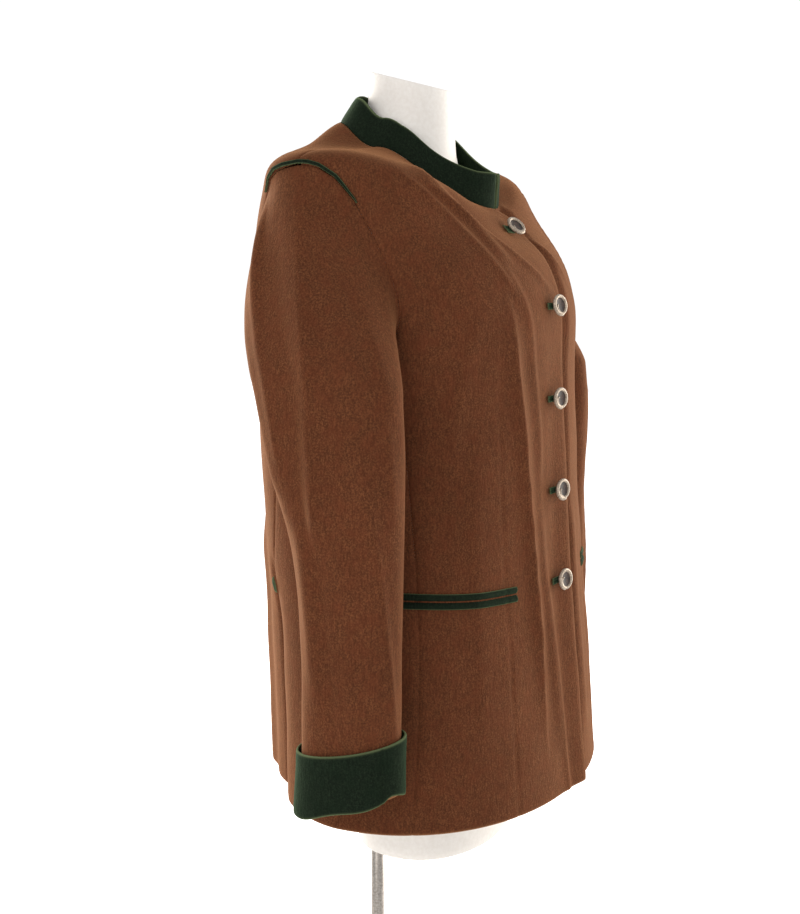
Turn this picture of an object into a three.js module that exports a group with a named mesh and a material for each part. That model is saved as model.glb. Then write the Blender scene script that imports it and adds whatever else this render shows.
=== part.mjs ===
// Women's loden jacket buttoned on a limbless dress form, which stands on a round base.
// Millimetres, +Z up. The wearer's front faces -Y and the wearer's right side is -X.
// The origin is on the floor, under the hem's centre.
import * as THREE from 'three';

// ---------------------------------------------------------------- driving dimensions
const CLOTH = 2.2;            // wall of the loden
const TRIM = 1.6;             // wall of the green trim cloth
const SEAM_GAP = 0.3;         // between pieces that meet at a seam
const LIE_GAP = 0.4;          // under what lies on a panel
const LAP_DROP = 5;           // how far the under front runs below the upper one
const LAP_UNDER = 24;         // under front past the centre line
const SHOULDER_LEVEL = 9;     // body level of the shoulder tip
const NECK_LEVEL = 11;        // body level of the neck seam
const UNDERARM_LEVEL = 5.25;  // body level where the side seams reach the armhole
const UNDERARM_DIP = 0.3;     // how far the armhole dips below that, in levels
const COLLAR_FRONT = 36;      // rise of the collar at its ends
const COLLAR_BACK = 28;       // and at the centre back, where it leans in
const COLLAR_LEAN = 11;
const EDGE_TRIM = 1;          // wall of the green edge
const EDGE_TRIM_SHOWS = 1.5;
const WELT_HEIGHT = 6.2;
const WELT_MOUTH = 0.8;
const BUTTON_RADIUS = 10.8;
const BUTTON_LIFT = 5.4;      // underside of the button above the front's cloth
const SHANK_FOOT = 3.8;       // foot of its shank above the same cloth
const HOLE_LENGTH = 24;
const HOLE_HEIGHT = 4.4;
const PIPING_WIDTH = 7;
const FORM_NECK_RADIUS = 45.5;
const POLE_RADIUS = 7;
const BASE_RADIUS = 150;
const BASE_HEIGHT = 12;
const BASE_CENTRE_Y = 30;
const POLE_X = -20;
const POLE_Y = 68;

// Body rings, hem to neck: half width, front and back depth (y), middle (y), height at
// the centre front, side and centre back, and the power of the ring's rounded outline.
const BODY_COLUMNS = [
  'half', 'front', 'back', 'mid', 'zFront', 'zSide', 'zBack', 'powerFront', 'powerBack',
];
const BODY_RINGS = [
  [228, -150, 170, 4, 351, 356, 364, 2.3, 1.7],
  [223, -141, 170, 8, 458, 460, 462, 2.35, 1.8],
  [214, -132, 169, 16, 570, 570, 570, 2.4, 2.0],
  [201, -129, 172, 23, 645, 645, 645, 2.5, 2.2],
  [197, -127, 176, 27, 720, 720, 720, 2.5, 2.3],
  [196, -125, 176, 30, 785, 788, 790, 2.5, 2.4],
  [195, -125, 174, 30, 850, 852, 862, 2.5, 2.5],
  [195, -109, 172, 37, 898, 905, 925, 2.35, 2.6],
  [197, -80, 160, 46, 928, 957, 980, 2.15, 2.5],
  [200, -67, 138, 60, 943, 999, 1018, 1.95, 2.3],
  [139, -62, 123, 51, 949, 1012, 1036, 1.9, 2.1],
  [75, -59, 113, 40, 954, 1024, 1052, 2.0, 2.0],
];

// Front edge past the centre line, by body level, and how far the edge flares forward.
const EDGE_COLUMNS = ['level', 'past', 'flare'];
const EDGE_ROWS = [
  [0, 26, 9], [2, 26, 8], [4, 26, 4], [6, 26, 0], [8, 26, 0], [9, 23, 0],
  [10.3, 11, 0], [10.75, -0.6, 0], [11, -0.6, 0],
];

// Seams round the body by level, in degrees from the centre front: side front, side back.
const SEAM_COLUMNS = ['level', 'sideFront', 'sideBack'];
const SEAM_ROWS = [
  [0, 71.5, 121], [2, 67.5, 118], [4, 68.5, 112], [5.25, 74, 107],
];

// Armhole by level, in degrees from the centre front: its front and back branch.
const ARMHOLE_COLUMNS = ['level', 'front', 'back'];
const ARMHOLE_ROWS = [
  [5.25, 74, 107], [5.6, 70.5, 111.5], [6, 69.3, 113.5], [7, 72.5, 112.5], [8, 78.7, 107.5], [9, 90, 90],
];

// Largest folds of the body: level range, angle at its ends and middle, half width, height.
const BODY_FOLD_COLUMNS = ['from', 'to', 'a0', 'a1', 'a2', 'width', 'height'];
const BODY_FOLDS = [
  [0.6, 6.3, 20, 23, 34, 13, 4.0],
  [6.6, 10.6, 24, 44, 66, 11, 3.0],
  [0.3, 3.4, 8, 12, 17, 11, 2.6],
  [0.2, 3.2, -24, -21, -20, 13, 3.2],
  [-0.9, 2.4, 125, 124, 120, 25, -9],
  [-0.9, 2.4, -125, -124, -120, 25, -9],
  [-0.8, 3.4, 153, 150, 144, 20, 11],
  [-0.8, 3.4, -153, -150, -144, 20, 11],
  [3.0, 6.2, 158, 150, 138, 14, 2.6],
  [3.4, 6.3, -157, -148, -136, 14, 2.4],
];

// Sleeve rings below the cap: centre height, centre x and y, half width across the arm,
// half depth front to rear, and forward rise of the ring in degrees.
const SLEEVE_COLUMNS = ['z', 'x', 'y', 'across', 'depth', 'rise'];
const SLEEVE_RINGS = [
  [772, -248, 0, 44, 72, 6],
  [700, -255, -13, 43, 64, 9],
  [640, -261, -25, 41, 54, 10],
  [560, -264, -29.5, 37.5, 49, 11],
  [480, -265, -30, 34.5, 48.5, 12],
  [404, -266, -28.5, 32.5, 50, 12],
];
const LEFT_SLEEVE_SHIFT = 12;   // the wearer's left sleeve hangs this much further back
const CAP_OUT = 140;            // how strongly the sleeve head leaves the shoulder
const CAP_REAR = 17;            // how far the rear of the head stands out, halfway down
const CAP_DOWN = 165;           // how strongly it turns down into the arm
const HEAD_GAP = 0.9;           // more room where the seam turns over the shoulder tip
const REAR_GAP = 1.1;           // and at the rear, where the sleeve stands fullest
const CAP_STEPS = 5;
const SLEEVE_STEP = 2;          // rows per sleeve ring interval
const SLEEVE_FOLD_COLUMNS = ['from', 'to', 'a0', 'a1', 'a2', 'width', 'height'];
const SLEEVE_FOLDS = [
  [0.05, 2.6, 104, 96, 78, 11, 5.0],
  [1.6, 4.7, 74, 40, 14, 12, 3.4],
  [0.3, 2.2, 158, 150, 140, 12, 3.0],
  [2.2, 4.8, 118, 122, 112, 14, 3.2],
  [1.0, 3.4, 262, 250, 240, 12, -3.0],
];
const CUFF_TOP = 457;
const CUFF_BOTTOM = 402;
const CUFF_STAND_OFF = 5;     // outer face of the cuff over the outer face of the sleeve
const CUFF_SLIT_ANGLE = 34;
const CUFF_SLIT = 2.5;

const VENT_LEVEL = 2;           // body level of the vents' tops, in the side-back seams
const VENT_DROP = 8.5;          // how far the back's underlay runs below the side panel
const VENT_UNDER = 8;           // degrees that the back runs under the side panel in a vent
// Arrowhead tab of a vent: height over the vent's top and half width there.
const VENT_TAB_ROWS = [[-4, 6.5], [6, 6.5], [15, 0.8]];
const BUTTON_LEVELS = [2, 3.25, 4.58, 6.05, 8.1];
const POCKET_COLUMNS = ['angle', 'z'];
const POCKET_LINE = [[35.5, 571], [52, 573], [68, 577], [84, 580]];

// Dress form rings, bottom to neck: half width, half depth, middle y, height, power.
const FORM_COLUMNS = ['half', 'depth', 'mid', 'z', 'power', 'tilt'];
const FORM_RINGS = [
  [98, 67, 7, 281, 2.2, 0],
  [105, 73, 7, 287, 2.2, 0],
  [108, 75, 7, 310, 2.2, 0],
  [114, 80, 7, 360, 2.2, 0],
  [148, 104, 10, 470, 2.2, 0],
  [150, 104, 14, 560, 2.2, 0],
  [128, 90, 18, 650, 2.2, 0],
  [138, 100, 20, 740, 2.2, 0],
  [160, 118, 22, 840, 2.2, 0],
  [164, 104, 30, 900, 2.3, 0],
  [160, 72, 42, 948, 2.2, 0.05],
  [112, 52, 42, 988, 2.0, 0.12],
  [62, 47, 38, 1014, 2.0, 0.2],
  [FORM_NECK_RADIUS + 1, FORM_NECK_RADIUS + 1, 37, 1045, 2.0, 0.27],
  [FORM_NECK_RADIUS, FORM_NECK_RADIUS, 36, 1084, 2.0, 0.27],
  [FORM_NECK_RADIUS - 3, FORM_NECK_RADIUS - 3, 36, 1088, 2.0, 0.27],
];

// ---------------------------------------------------------------- finishes
const LODEN = { color: 0x6f432c, roughness: 0.95, metalness: 0 };
const GREEN = { color: 0x1f3322, roughness: 0.9, metalness: 0 };
const BUTTON = { color: 0x8d8072, roughness: 0.4, metalness: 0.7 };
const FORM = { color: 0xe9e2da, roughness: 0.6, metalness: 0 };
const STEEL = { color: 0x8f8880, roughness: 0.35, metalness: 0.9 };

const jacket = new THREE.Group();

function add(name, geometry, finish) {
  const mesh = new THREE.Mesh(geometry, new THREE.MeshStandardMaterial(finish));
  mesh.name = name;
  jacket.add(mesh);
}

// ---------------------------------------------------------------- tables and curves
function named(columns, rows) {
  return rows.map((row) => Object.fromEntries(columns.map((column, i) => [column, row[i]])));
}

/** Smooth value through equally spaced numbers, t from 0 to their count less 1. */
function smooth(values, t) {
  const last = values.length - 1;
  const i = Math.min(Math.max(Math.floor(t), 0), last - 1);
  const f = t - i;
  const p1 = values[i];
  const p2 = values[i + 1];
  const p0 = i > 0 ? values[i - 1] : 2 * p1 - p2;
  const p3 = i + 2 <= last ? values[i + 2] : 2 * p2 - p1;
  return p1 + 0.5 * f * (p2 - p0 + f * (2 * p0 - 5 * p1 + 4 * p2 - p3 + f * (3 * (p1 - p2) + p3 - p0)));
}

/** Smooth value through rows keyed by level. */
function byLevel(rows, column, level) {
  let i = 0;
  while (i < rows.length - 2 && level > rows[i + 1].level) i += 1;
  const span = rows[i + 1].level - rows[i].level;
  const t = THREE.MathUtils.clamp((level - rows[i].level) / span, 0, 1);
  return smooth(rows.map((row) => row[column]), i + t);
}

function columnsOf(columns, rows) {
  return Object.fromEntries(columns.map((column, i) => [column, rows.map((row) => row[i])]));
}

const degrees = THREE.MathUtils.degToRad;
const smoothstep = THREE.MathUtils.smoothstep;
const body = columnsOf(BODY_COLUMNS, BODY_RINGS);
const sleeve = columnsOf(SLEEVE_COLUMNS, SLEEVE_RINGS);
const form = columnsOf(FORM_COLUMNS, FORM_RINGS);
const edgeRows = named(EDGE_COLUMNS, EDGE_ROWS);
const seamRows = named(SEAM_COLUMNS, SEAM_ROWS);
const armholeRows = named(ARMHOLE_COLUMNS, ARMHOLE_ROWS);

/** Sum of the folds' heights at one place: a rounded ridge along each fold's path. */
function foldHeight(folds, along, angle, radius) {
  let height = 0;
  for (const fold of folds) {
    const t = (along - fold.from) / (fold.to - fold.from);
    if (t <= 0 || t >= 1) continue;
    const path = (1 - t) * (1 - t) * fold.a0 + 2 * t * (1 - t) * fold.a1 + t * t * fold.a2;
    const away = degrees(angle - path) * radius / fold.width;
    const fade = smoothstep(t, 0, 0.22) * (1 - smoothstep(t, 0.72, 1));
    height += fold.height * fade * Math.exp(-away * away);
  }
  return height;
}

// ---------------------------------------------------------------- body surface
/** Distance from a ring's middle to its outline, which is |cos/depth|^n + |sin/half|^n = 1. */
function outline(half, depth, power, cos, sin) {
  return (Math.abs(cos / depth) ** power + Math.abs(sin / half) ** power) ** (-1 / power);
}

/** Point of the smooth body at an angle in degrees from the centre front, towards -X. */
function bodyForm(angle, level) {
  const cos = Math.cos(degrees(angle));
  const sin = Math.sin(degrees(angle));
  const mid = smooth(body.mid, level);
  const depth = cos > 0 ? mid - smooth(body.front, level) : smooth(body.back, level) - mid;
  const power = smooth(cos > 0 ? body.powerFront : body.powerBack, level);
  const reach = outline(smooth(body.half, level), depth, power, cos, sin);
  const side = smooth(body.zSide, level);
  const end = smooth(cos > 0 ? body.zFront : body.zBack, level);
  return new THREE.Vector3(-reach * sin, mid - reach * cos, side + (end - side) * cos * cos);
}

/** Outward unit normal of a surface given as a function of two numbers. */
function normalOf(surface, u, v, stepU, stepV, sign) {
  const du = surface(u + stepU, v).sub(surface(u - stepU, v));
  const dv = surface(u, v + stepV).sub(surface(u, v - stepV));
  return du.cross(dv).normalize().multiplyScalar(sign);
}

const bodyFormNormal = (angle, level) => {
  const clamped = Math.min(Math.max(level, 0.02), NECK_LEVEL - 0.02);
  return normalOf(bodyForm, angle, clamped, 0.4, 0.02, -1);
};

const bodyFolds = named(BODY_FOLD_COLUMNS, BODY_FOLDS);

/** Worn body surface: the form with its folds laid on along the normal. */
function bodySurface(angle, level) {
  const turn = angle > 250 ? angle - 360 : angle;
  const height = foldHeight(bodyFolds, level, turn, 180);
  return bodyForm(angle, level).addScaledVector(bodyFormNormal(angle, level), height);
}

/** Angle whose point lies this many millimetres round from the centre front. */
function angleAcrossFront(millimetres, level) {
  const reach = bodyForm(0, level).y - smooth(body.mid, level);
  return THREE.MathUtils.radToDeg(Math.atan2(millimetres, -reach));
}

// ---------------------------------------------------------------- cloth walls
/**
 * Closed wall from a grid of outer points and normals. The inner face lies `wall` below.
 * A grid that is closed round has no edge along its columns' ends.
 */
function wallGeometry(points, normals, wall, closed = false) {
  const rows = points.length;
  const cols = points[0].length;
  const flat = [];
  for (const grid of [0, wall]) {
    for (let i = 0; i < rows; i += 1) {
      for (let j = 0; j < cols; j += 1) {
        const p = points[i][j].clone().addScaledVector(normals[i][j], -grid);
        flat.push(p.x, p.y, p.z);
      }
    }
  }
  const inner = rows * cols;
  const at = (i, j) => i * cols + (j % cols);
  const index = [];
  const quad = (a, b, c, d) => index.push(a, b, c, a, c, d);
  const across = closed ? cols : cols - 1;
  for (let i = 0; i < rows - 1; i += 1) {
    for (let j = 0; j < across; j += 1) {
      quad(at(i, j), at(i, j + 1), at(i + 1, j + 1), at(i + 1, j));
      quad(inner + at(i, j), inner + at(i + 1, j), inner + at(i + 1, j + 1), inner + at(i, j + 1));
    }
  }
  for (let j = 0; j < across; j += 1) {
    quad(at(0, j), inner + at(0, j), inner + at(0, j + 1), at(0, j + 1));
    quad(at(rows - 1, j), at(rows - 1, j + 1), inner + at(rows - 1, j + 1), inner + at(rows - 1, j));
  }
  if (!closed) {
    for (let i = 0; i < rows - 1; i += 1) {
      quad(at(i, 0), at(i + 1, 0), inner + at(i + 1, 0), inner + at(i, 0));
      const e = cols - 1;
      quad(at(i, e), inner + at(i, e), inner + at(i + 1, e), at(i + 1, e));
    }
  }
  const geometry = new THREE.BufferGeometry();
  geometry.setAttribute('position', new THREE.Float32BufferAttribute(flat, 3));
  geometry.setIndex(index);
  geometry.computeVertexNormals();
  return geometry;
}

/** Wall over rows of body places, each {angle, level, lift}; angles fall along a row. */
function bodyWall(places, wall) {
  const points = places.map((row) => row.map(
    (p) => bodySurface(p.angle, p.level).addScaledVector(bodyFormNormal(p.angle, p.level), p.lift),
  ));
  const normals = places.map((row) => row.map((p) => bodyFormNormal(p.angle, p.level)));
  return wallGeometry(points, normals, wall);
}

/** Angle for half a seam gap at a place on the body. */
function gapAngle(angle, level) {
  const step = bodyForm(angle + 0.5, level).distanceTo(bodyForm(angle - 0.5, level));
  return SEAM_GAP / 2 / step;
}

// Rows shared by the panels that meet, so that their facets agree along the seams.
const LOWER_LEVELS = [0, 0.5, 1, 1.5, 2, 2.5, 3, 3.5, 4, 4.5, 4.95, UNDERARM_LEVEL];
const ARM_LEVELS = [5.6, 6, 6.5, 7, 7.5, 8, 8.5, SHOULDER_LEVEL];
const YOKE_LEVELS = [9.7, 10.3, 10.75, NECK_LEVEL];
const PANEL_LEVELS = [...LOWER_LEVELS, ...ARM_LEVELS, ...YOKE_LEVELS];
const EDGE_TRIM_LEVELS = [0.03, 0.5, 1, 1.5, 2, 2.5, 3, 3.5];
const FRONT_COLUMNS = 10;
const BACK_COLUMNS = 8;
const SIDE_COLUMNS = 6;

const NECK_GAP_LEVEL = NECK_LEVEL - 0.01;
const sideFrontAt = (level) => {
  if (level <= UNDERARM_LEVEL) return byLevel(seamRows, 'sideFront', level);
  if (level < SHOULDER_LEVEL) return byLevel(armholeRows, 'front', level);
  return 90;
};
const sideBackAt = (level) => {
  if (level <= UNDERARM_LEVEL) return byLevel(seamRows, 'sideBack', level);
  if (level < SHOULDER_LEVEL) return byLevel(armholeRows, 'back', level);
  return 90;
};

/** Rows of body places between two angle functions, `side` -1 for the wearer's left. */
function panelPlaces(levels, columns, near, far, side, lift) {
  return levels.map((level) => {
    const a = near(level) + gapAngle(near(level), level);
    const b = far(level) - gapAngle(far(level), level);
    const row = [];
    for (let j = 0; j <= columns; j += 1) {
      const angle = side * THREE.MathUtils.lerp(a, b, j / columns);
      const turn = side * angle;
      const height = side > 0 || near === underEdge ? lift(angle, level) : lift(turn, level);
      row.push({ angle, level: Math.min(level, NECK_GAP_LEVEL), lift: height });
    }
    return side > 0 ? row.reverse() : row;
  });
}

const flareAt = (angle, level) => {
  const edge = -angleAcrossFront(byLevel(edgeRows, 'past', level), level);
  return byLevel(edgeRows, 'flare', level) * (1 - smoothstep(angle, edge, edge + 14)) * 0.8;
};
const dropAt = (angle, level) => {
  const below = 1 - smoothstep(level, 10.5, NECK_LEVEL);
  return -LAP_DROP * below * smoothstep(angle, -19, -12.5);
};
const overEdge = (level) => -angleAcrossFront(byLevel(edgeRows, 'past', level), level);
const underEdge = (level) => -angleAcrossFront(Math.min(LAP_UNDER, byLevel(edgeRows, 'past', level)), level);
/** The back's near edge: the seam, and below a vent's top the underlay past it. */
const backEdge = (level) => {
  const under = VENT_UNDER * THREE.MathUtils.clamp((VENT_LEVEL - level) / 0.5, 0, 1);
  return sideBackAt(level) - under;
};
const ventDropAt = (angle, level) => {
  const open = 1 - smoothstep(level, VENT_LEVEL, VENT_LEVEL + 0.5);
  const seam = sideBackAt(level);
  return -VENT_DROP * open * (1 - smoothstep(angle, seam + 1, seam + 7));
};

add('front_right', bodyWall(
  panelPlaces(PANEL_LEVELS, FRONT_COLUMNS, overEdge, sideFrontAt, 1, flareAt), CLOTH), LODEN);
add('front_left', bodyWall(
  panelPlaces(PANEL_LEVELS, FRONT_COLUMNS, underEdge, sideFrontAt, -1, dropAt), CLOTH), LODEN);
/** Green edge of the facing, which shows past the right front's edge from the waist down. */
function edgeTrimPlaces() {
  return EDGE_TRIM_LEVELS.map((level) => [6, -EDGE_TRIM_SHOWS].map((past) => {
    const angle = -angleAcrossFront(byLevel(edgeRows, 'past', level) - past, level);
    return { angle, level, lift: flareAt(angle, level) - CLOTH - 1.5 };
  }));
}
add('edge_binding', bodyWall(edgeTrimPlaces(), EDGE_TRIM), GREEN);

for (const [name, side] of [['right', 1], ['left', -1]]) {
  const centreBack = () => 180;
  const places = panelPlaces(PANEL_LEVELS, BACK_COLUMNS, backEdge, centreBack, side, ventDropAt);
  add(`back_${name}`, bodyWall(places, CLOTH), LODEN);
  add(`side_${name}`, bodyWall(sidePlaces(side), CLOTH), LODEN);
}

/** Level of the armhole's bottom at a fraction of the way across the side panel. */
function armholeBottom(fraction) {
  return UNDERARM_LEVEL - UNDERARM_DIP * Math.sin(Math.PI * fraction);
}

function sidePlaces(side) {
  return LOWER_LEVELS.map((level) => {
    const a = byLevel(seamRows, 'sideFront', level) + gapAngle(70, level);
    const b = byLevel(seamRows, 'sideBack', level) - gapAngle(110, level);
    const row = [];
    for (let j = 0; j <= SIDE_COLUMNS; j += 1) {
      const f = j / SIDE_COLUMNS;
      const dip = smoothstep(level, 4, UNDERARM_LEVEL);
      const dipped = level - dip * (UNDERARM_LEVEL - armholeBottom(f));
      row.push({ angle: side * THREE.MathUtils.lerp(a, b, f), level: dipped, lift: 0 });
    }
    return side > 0 ? row.reverse() : row;
  });
}

// ---------------------------------------------------------------- sleeves
/** Places of the armhole, from the shoulder tip down the front and up the back. */
function armholePlaces() {
  const frontDown = [...ARM_LEVELS].reverse();
  const places = frontDown.map((level) => ({ angle: byLevel(armholeRows, 'front', level), level }));
  for (let j = 0; j <= SIDE_COLUMNS; j += 1) {
    const f = j / SIDE_COLUMNS;
    places.push({ angle: THREE.MathUtils.lerp(74, 107, f), level: armholeBottom(f) });
  }
  for (const level of ARM_LEVELS.slice(0, -1)) {
    places.push({ angle: byLevel(armholeRows, 'back', level), level });
  }
  return places;
}

const ARMHOLE = armholePlaces();
const AROUND = ARMHOLE.length;

/** Direction in the cloth, across the armhole seam and away from the body, at place i. */
function awayAt(i) {
  const at = (k) => ARMHOLE[(k + AROUND) % AROUND];
  const along = bodyForm(at(i + 1).angle, at(i + 1).level).sub(bodyForm(at(i - 1).angle, at(i - 1).level));
  const normal = bodyFormNormal(at(i).angle, at(i).level);
  return along.cross(normal).normalize();
}

/** Angle round the sleeve of each armhole place: 90 at the head, 0 at the front, 270 under the arm. */
function sleeveAngles() {
  const points = ARMHOLE.map((p) => bodyForm(p.angle, p.level));
  const lengths = [0];
  for (let i = 1; i <= AROUND; i += 1) {
    lengths.push(lengths[i - 1] + points[i % AROUND].distanceTo(points[i - 1]));
  }
  return lengths.slice(0, AROUND).map((s) => 90 - 360 * s / lengths[AROUND]);
}

const SLEEVE_ANGLES = sleeveAngles();
const sleeveFolds = named(SLEEVE_FOLD_COLUMNS, SLEEVE_FOLDS);

/** Point of the arm's rings: ring index from 0 at the bicep, angle in degrees round it. */
function armForm(angle, ring) {
  const cos = Math.cos(degrees(angle));
  const sin = Math.sin(degrees(angle));
  const x = smooth(sleeve.x, ring) - smooth(sleeve.across, ring) * sin;
  const y = smooth(sleeve.y, ring) - smooth(sleeve.depth, ring) * cos;
  const z = smooth(sleeve.z, ring) + smooth(sleeve.depth, ring) * cos * Math.tan(degrees(smooth(sleeve.rise, ring)));
  return new THREE.Vector3(x, y, z);
}

/** Point of the sleeve's cap, t from 0 at the armhole seam to 1 at the bicep ring. */
function capForm(i, t, gap) {
  const place = ARMHOLE[i];
  const away = awayAt(i);
  const head = Math.max(0, Math.sin(degrees(SLEEVE_ANGLES[i])));
  const rear = Math.max(0, -Math.cos(degrees(SLEEVE_ANGLES[i])));
  const room = gap + HEAD_GAP * head ** 4 + REAR_GAP * rear;
  const from = bodySurface(place.angle, place.level).addScaledVector(away, room);
  const to = armForm(SLEEVE_ANGLES[i], 0);
  const leave = away.multiplyScalar(THREE.MathUtils.lerp(30, CAP_OUT, head));
  const arrive = armForm(SLEEVE_ANGLES[i], 0.2).sub(to).normalize();
  arrive.multiplyScalar(THREE.MathUtils.lerp(30, CAP_DOWN, head));
  const t2 = t * t;
  const t3 = t2 * t;
  return from.multiplyScalar(2 * t3 - 3 * t2 + 1)
    .addScaledVector(leave, t3 - 2 * t2 + t)
    .addScaledVector(to, 3 * t2 - 2 * t3)
    .addScaledVector(arrive, t3 - t2)
    .add(new THREE.Vector3(0, CAP_REAR * Math.sqrt(rear) * Math.sin(Math.PI * t ** 0.85) ** 2, 0));
}

/** Outer points and normals of the whole sleeve on the wearer's right. */
function sleeveGrid() {
  const points = [];
  for (let k = 0; k <= CAP_STEPS; k += 1) {
    points.push(ARMHOLE.map((place, i) => capForm(i, k / CAP_STEPS, SEAM_GAP)));
  }
  const rings = SLEEVE_RINGS.length - 1;
  for (let k = 1; k <= rings * SLEEVE_STEP; k += 1) {
    points.push(SLEEVE_ANGLES.map((angle) => armForm(angle, k / SLEEVE_STEP)));
  }
  const last = points.length - 1;
  const normals = points.map((row, k) => row.map((point, i) => {
    const round = row[(i + 1) % AROUND].clone().sub(row[(i + AROUND - 1) % AROUND]);
    const down = points[Math.min(k + 1, last)][i].clone().sub(points[Math.max(k - 1, 0)][i]);
    const normal = down.cross(round).normalize();
    if (k > 0) return normal;
    return normal.add(bodyFormNormal(ARMHOLE[i].angle, ARMHOLE[i].level)).normalize();
  }));
  const folded = points.map((row, k) => row.map((point, i) => {
    const along = k / CAP_STEPS < 1 ? k / CAP_STEPS * 0.9 : 0.9 + (k - CAP_STEPS) / SLEEVE_STEP;
    const turn = (SLEEVE_ANGLES[i] + 360) % 360;
    return point.clone().addScaledVector(normals[k][i], foldHeight(sleeveFolds, along, turn, 55));
  }));
  return { points: folded, normals };
}

/** Mirrors a grid to the wearer's left and moves it, as the left arm hangs. */
function toLeft(points, normals, shift) {
  const place = (p) => new THREE.Vector3(-p.x, p.y + shift(p), p.z);
  const turn = (n) => new THREE.Vector3(-n.x, n.y, n.z);
  return [
    points.map((row) => row.map(place).reverse()),
    normals.map((row) => row.map(turn).reverse()),
  ];
}
const leftShift = (p) => LEFT_SLEEVE_SHIFT * (1 - smoothstep(p.z, 620, 780));

const SEAM_FRONT = 7;    // armhole place where the front sleeve seam starts
const SEAM_BACK = 16;    // armhole place where the back sleeve seam starts

/** Columns of a sleeve grid from one seam to the other, each end half a gap short. */
function sleevePiece(grid, from, to) {
  const order = [];
  for (let i = from; i !== to; i = (i + 1) % AROUND) order.push(i);
  order.push(to);
  const shrink = (row, j) => {
    const here = row[order[j]].clone();
    if (j > 0 && j < order.length - 1) return here;
    const next = row[order[j === 0 ? 1 : j - 1]];
    return here.addScaledVector(next.clone().sub(here).normalize(), SEAM_GAP / 2);
  };
  return [
    grid.points.map((row) => order.map((_, j) => shrink(row, j))),
    grid.normals.map((row) => order.map((i) => row[i])),
  ];
}

const fullSleeve = sleeveGrid();
const pieces = [['upper', SEAM_BACK, SEAM_FRONT], ['under', SEAM_FRONT, SEAM_BACK]];
for (const [name, from, to] of pieces) {
  const [points, normals] = sleevePiece(fullSleeve, from, to);
  const [leftPoints, leftNormals] = toLeft(points, normals, leftShift);
  add(`sleeve_right_${name}`, wallGeometry(...flip(points, normals), CLOTH), LODEN);
  add(`sleeve_left_${name}`, wallGeometry(...flip(leftPoints, leftNormals), CLOTH), LODEN);
}

/** The grid with its rows in the other order, so that its faces point out. */
function flip(points, normals) {
  return [[...points].reverse(), [...normals].reverse()];
}

// ---------------------------------------------------------------- cuffs
const CUFF_COLUMNS = 26;
const CUFF_ROWS = 2;

/** Turned-up cuff: a band round the sleeve's end, open at its slit. */
function cuffGrid() {
  const points = [];
  const normals = [];
  for (let k = 0; k <= CUFF_ROWS; k += 1) {
    const z = THREE.MathUtils.lerp(CUFF_BOTTOM, CUFF_TOP, k / CUFF_ROWS);
    const ring = 4 + (480 - z) / 70;
    const open = THREE.MathUtils.radToDeg(CUFF_SLIT * (1.6 - k / CUFF_ROWS) / 50);
    const row = [];
    const normalRow = [];
    for (let j = 0; j <= CUFF_COLUMNS; j += 1) {
      const t = THREE.MathUtils.lerp(open, 360 - open, j / CUFF_COLUMNS);
      const angle = CUFF_SLIT_ANGLE - t;
      const normal = normalOf(armForm, angle, Math.min(ring, 4.9), 0.5, 0.05, 1);
      row.push(armForm(angle, ring).addScaledVector(normal, CUFF_STAND_OFF));
      normalRow.push(normal);
    }
    points.push(row);
    normals.push(normalRow);
  }
  return [points, normals];
}
const [cuffPoints, cuffNormals] = cuffGrid();
const [leftCuffPoints, leftCuffNormals] = toLeft(cuffPoints, cuffNormals, leftShift);
add('cuff_right', wallGeometry(cuffPoints, cuffNormals, CLOTH), GREEN);
add('cuff_left', wallGeometry(leftCuffPoints, leftCuffNormals, CLOTH), GREEN);

// ---------------------------------------------------------------- collar
const COLLAR_COLUMNS = 32;
const COLLAR_LEVELS = 2;

/** Stand collar: rises from the neck seam and leans in over its height. */
function collarGrid() {
  const points = [];
  const normals = [];
  for (let k = 0; k <= COLLAR_LEVELS; k += 1) {
    const t = k / COLLAR_LEVELS;
    const row = [];
    const normalRow = [];
    for (let j = 0; j <= COLLAR_COLUMNS; j += 1) {
      const angle = THREE.MathUtils.lerp(-0.8 + 1.6 * t, 357.4 - 1.2 * t, j / COLLAR_COLUMNS);
      const cos = Math.cos(degrees(angle));
      const seam = bodyForm(angle, NECK_LEVEL);
      const toFront = Math.max(cos, 0) ** 6;
      const lean = THREE.MathUtils.lerp(COLLAR_LEAN, -3, toFront) * t;
      const out = new THREE.Vector3(seam.x, seam.y - 40, 0).normalize();
      const rise = SEAM_GAP + THREE.MathUtils.lerp(COLLAR_BACK, COLLAR_FRONT, toFront) * t;
      row.push(seam.clone().addScaledVector(out, -lean).add(new THREE.Vector3(0, 0, rise)));
      normalRow.push(out);
    }
    points.push(row.reverse());
    normals.push(normalRow.reverse());
  }
  return [points, normals];
}
const [collarPoints, collarNormals] = collarGrid();
add('collar', wallGeometry(collarPoints, collarNormals, CLOTH), GREEN);

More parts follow.
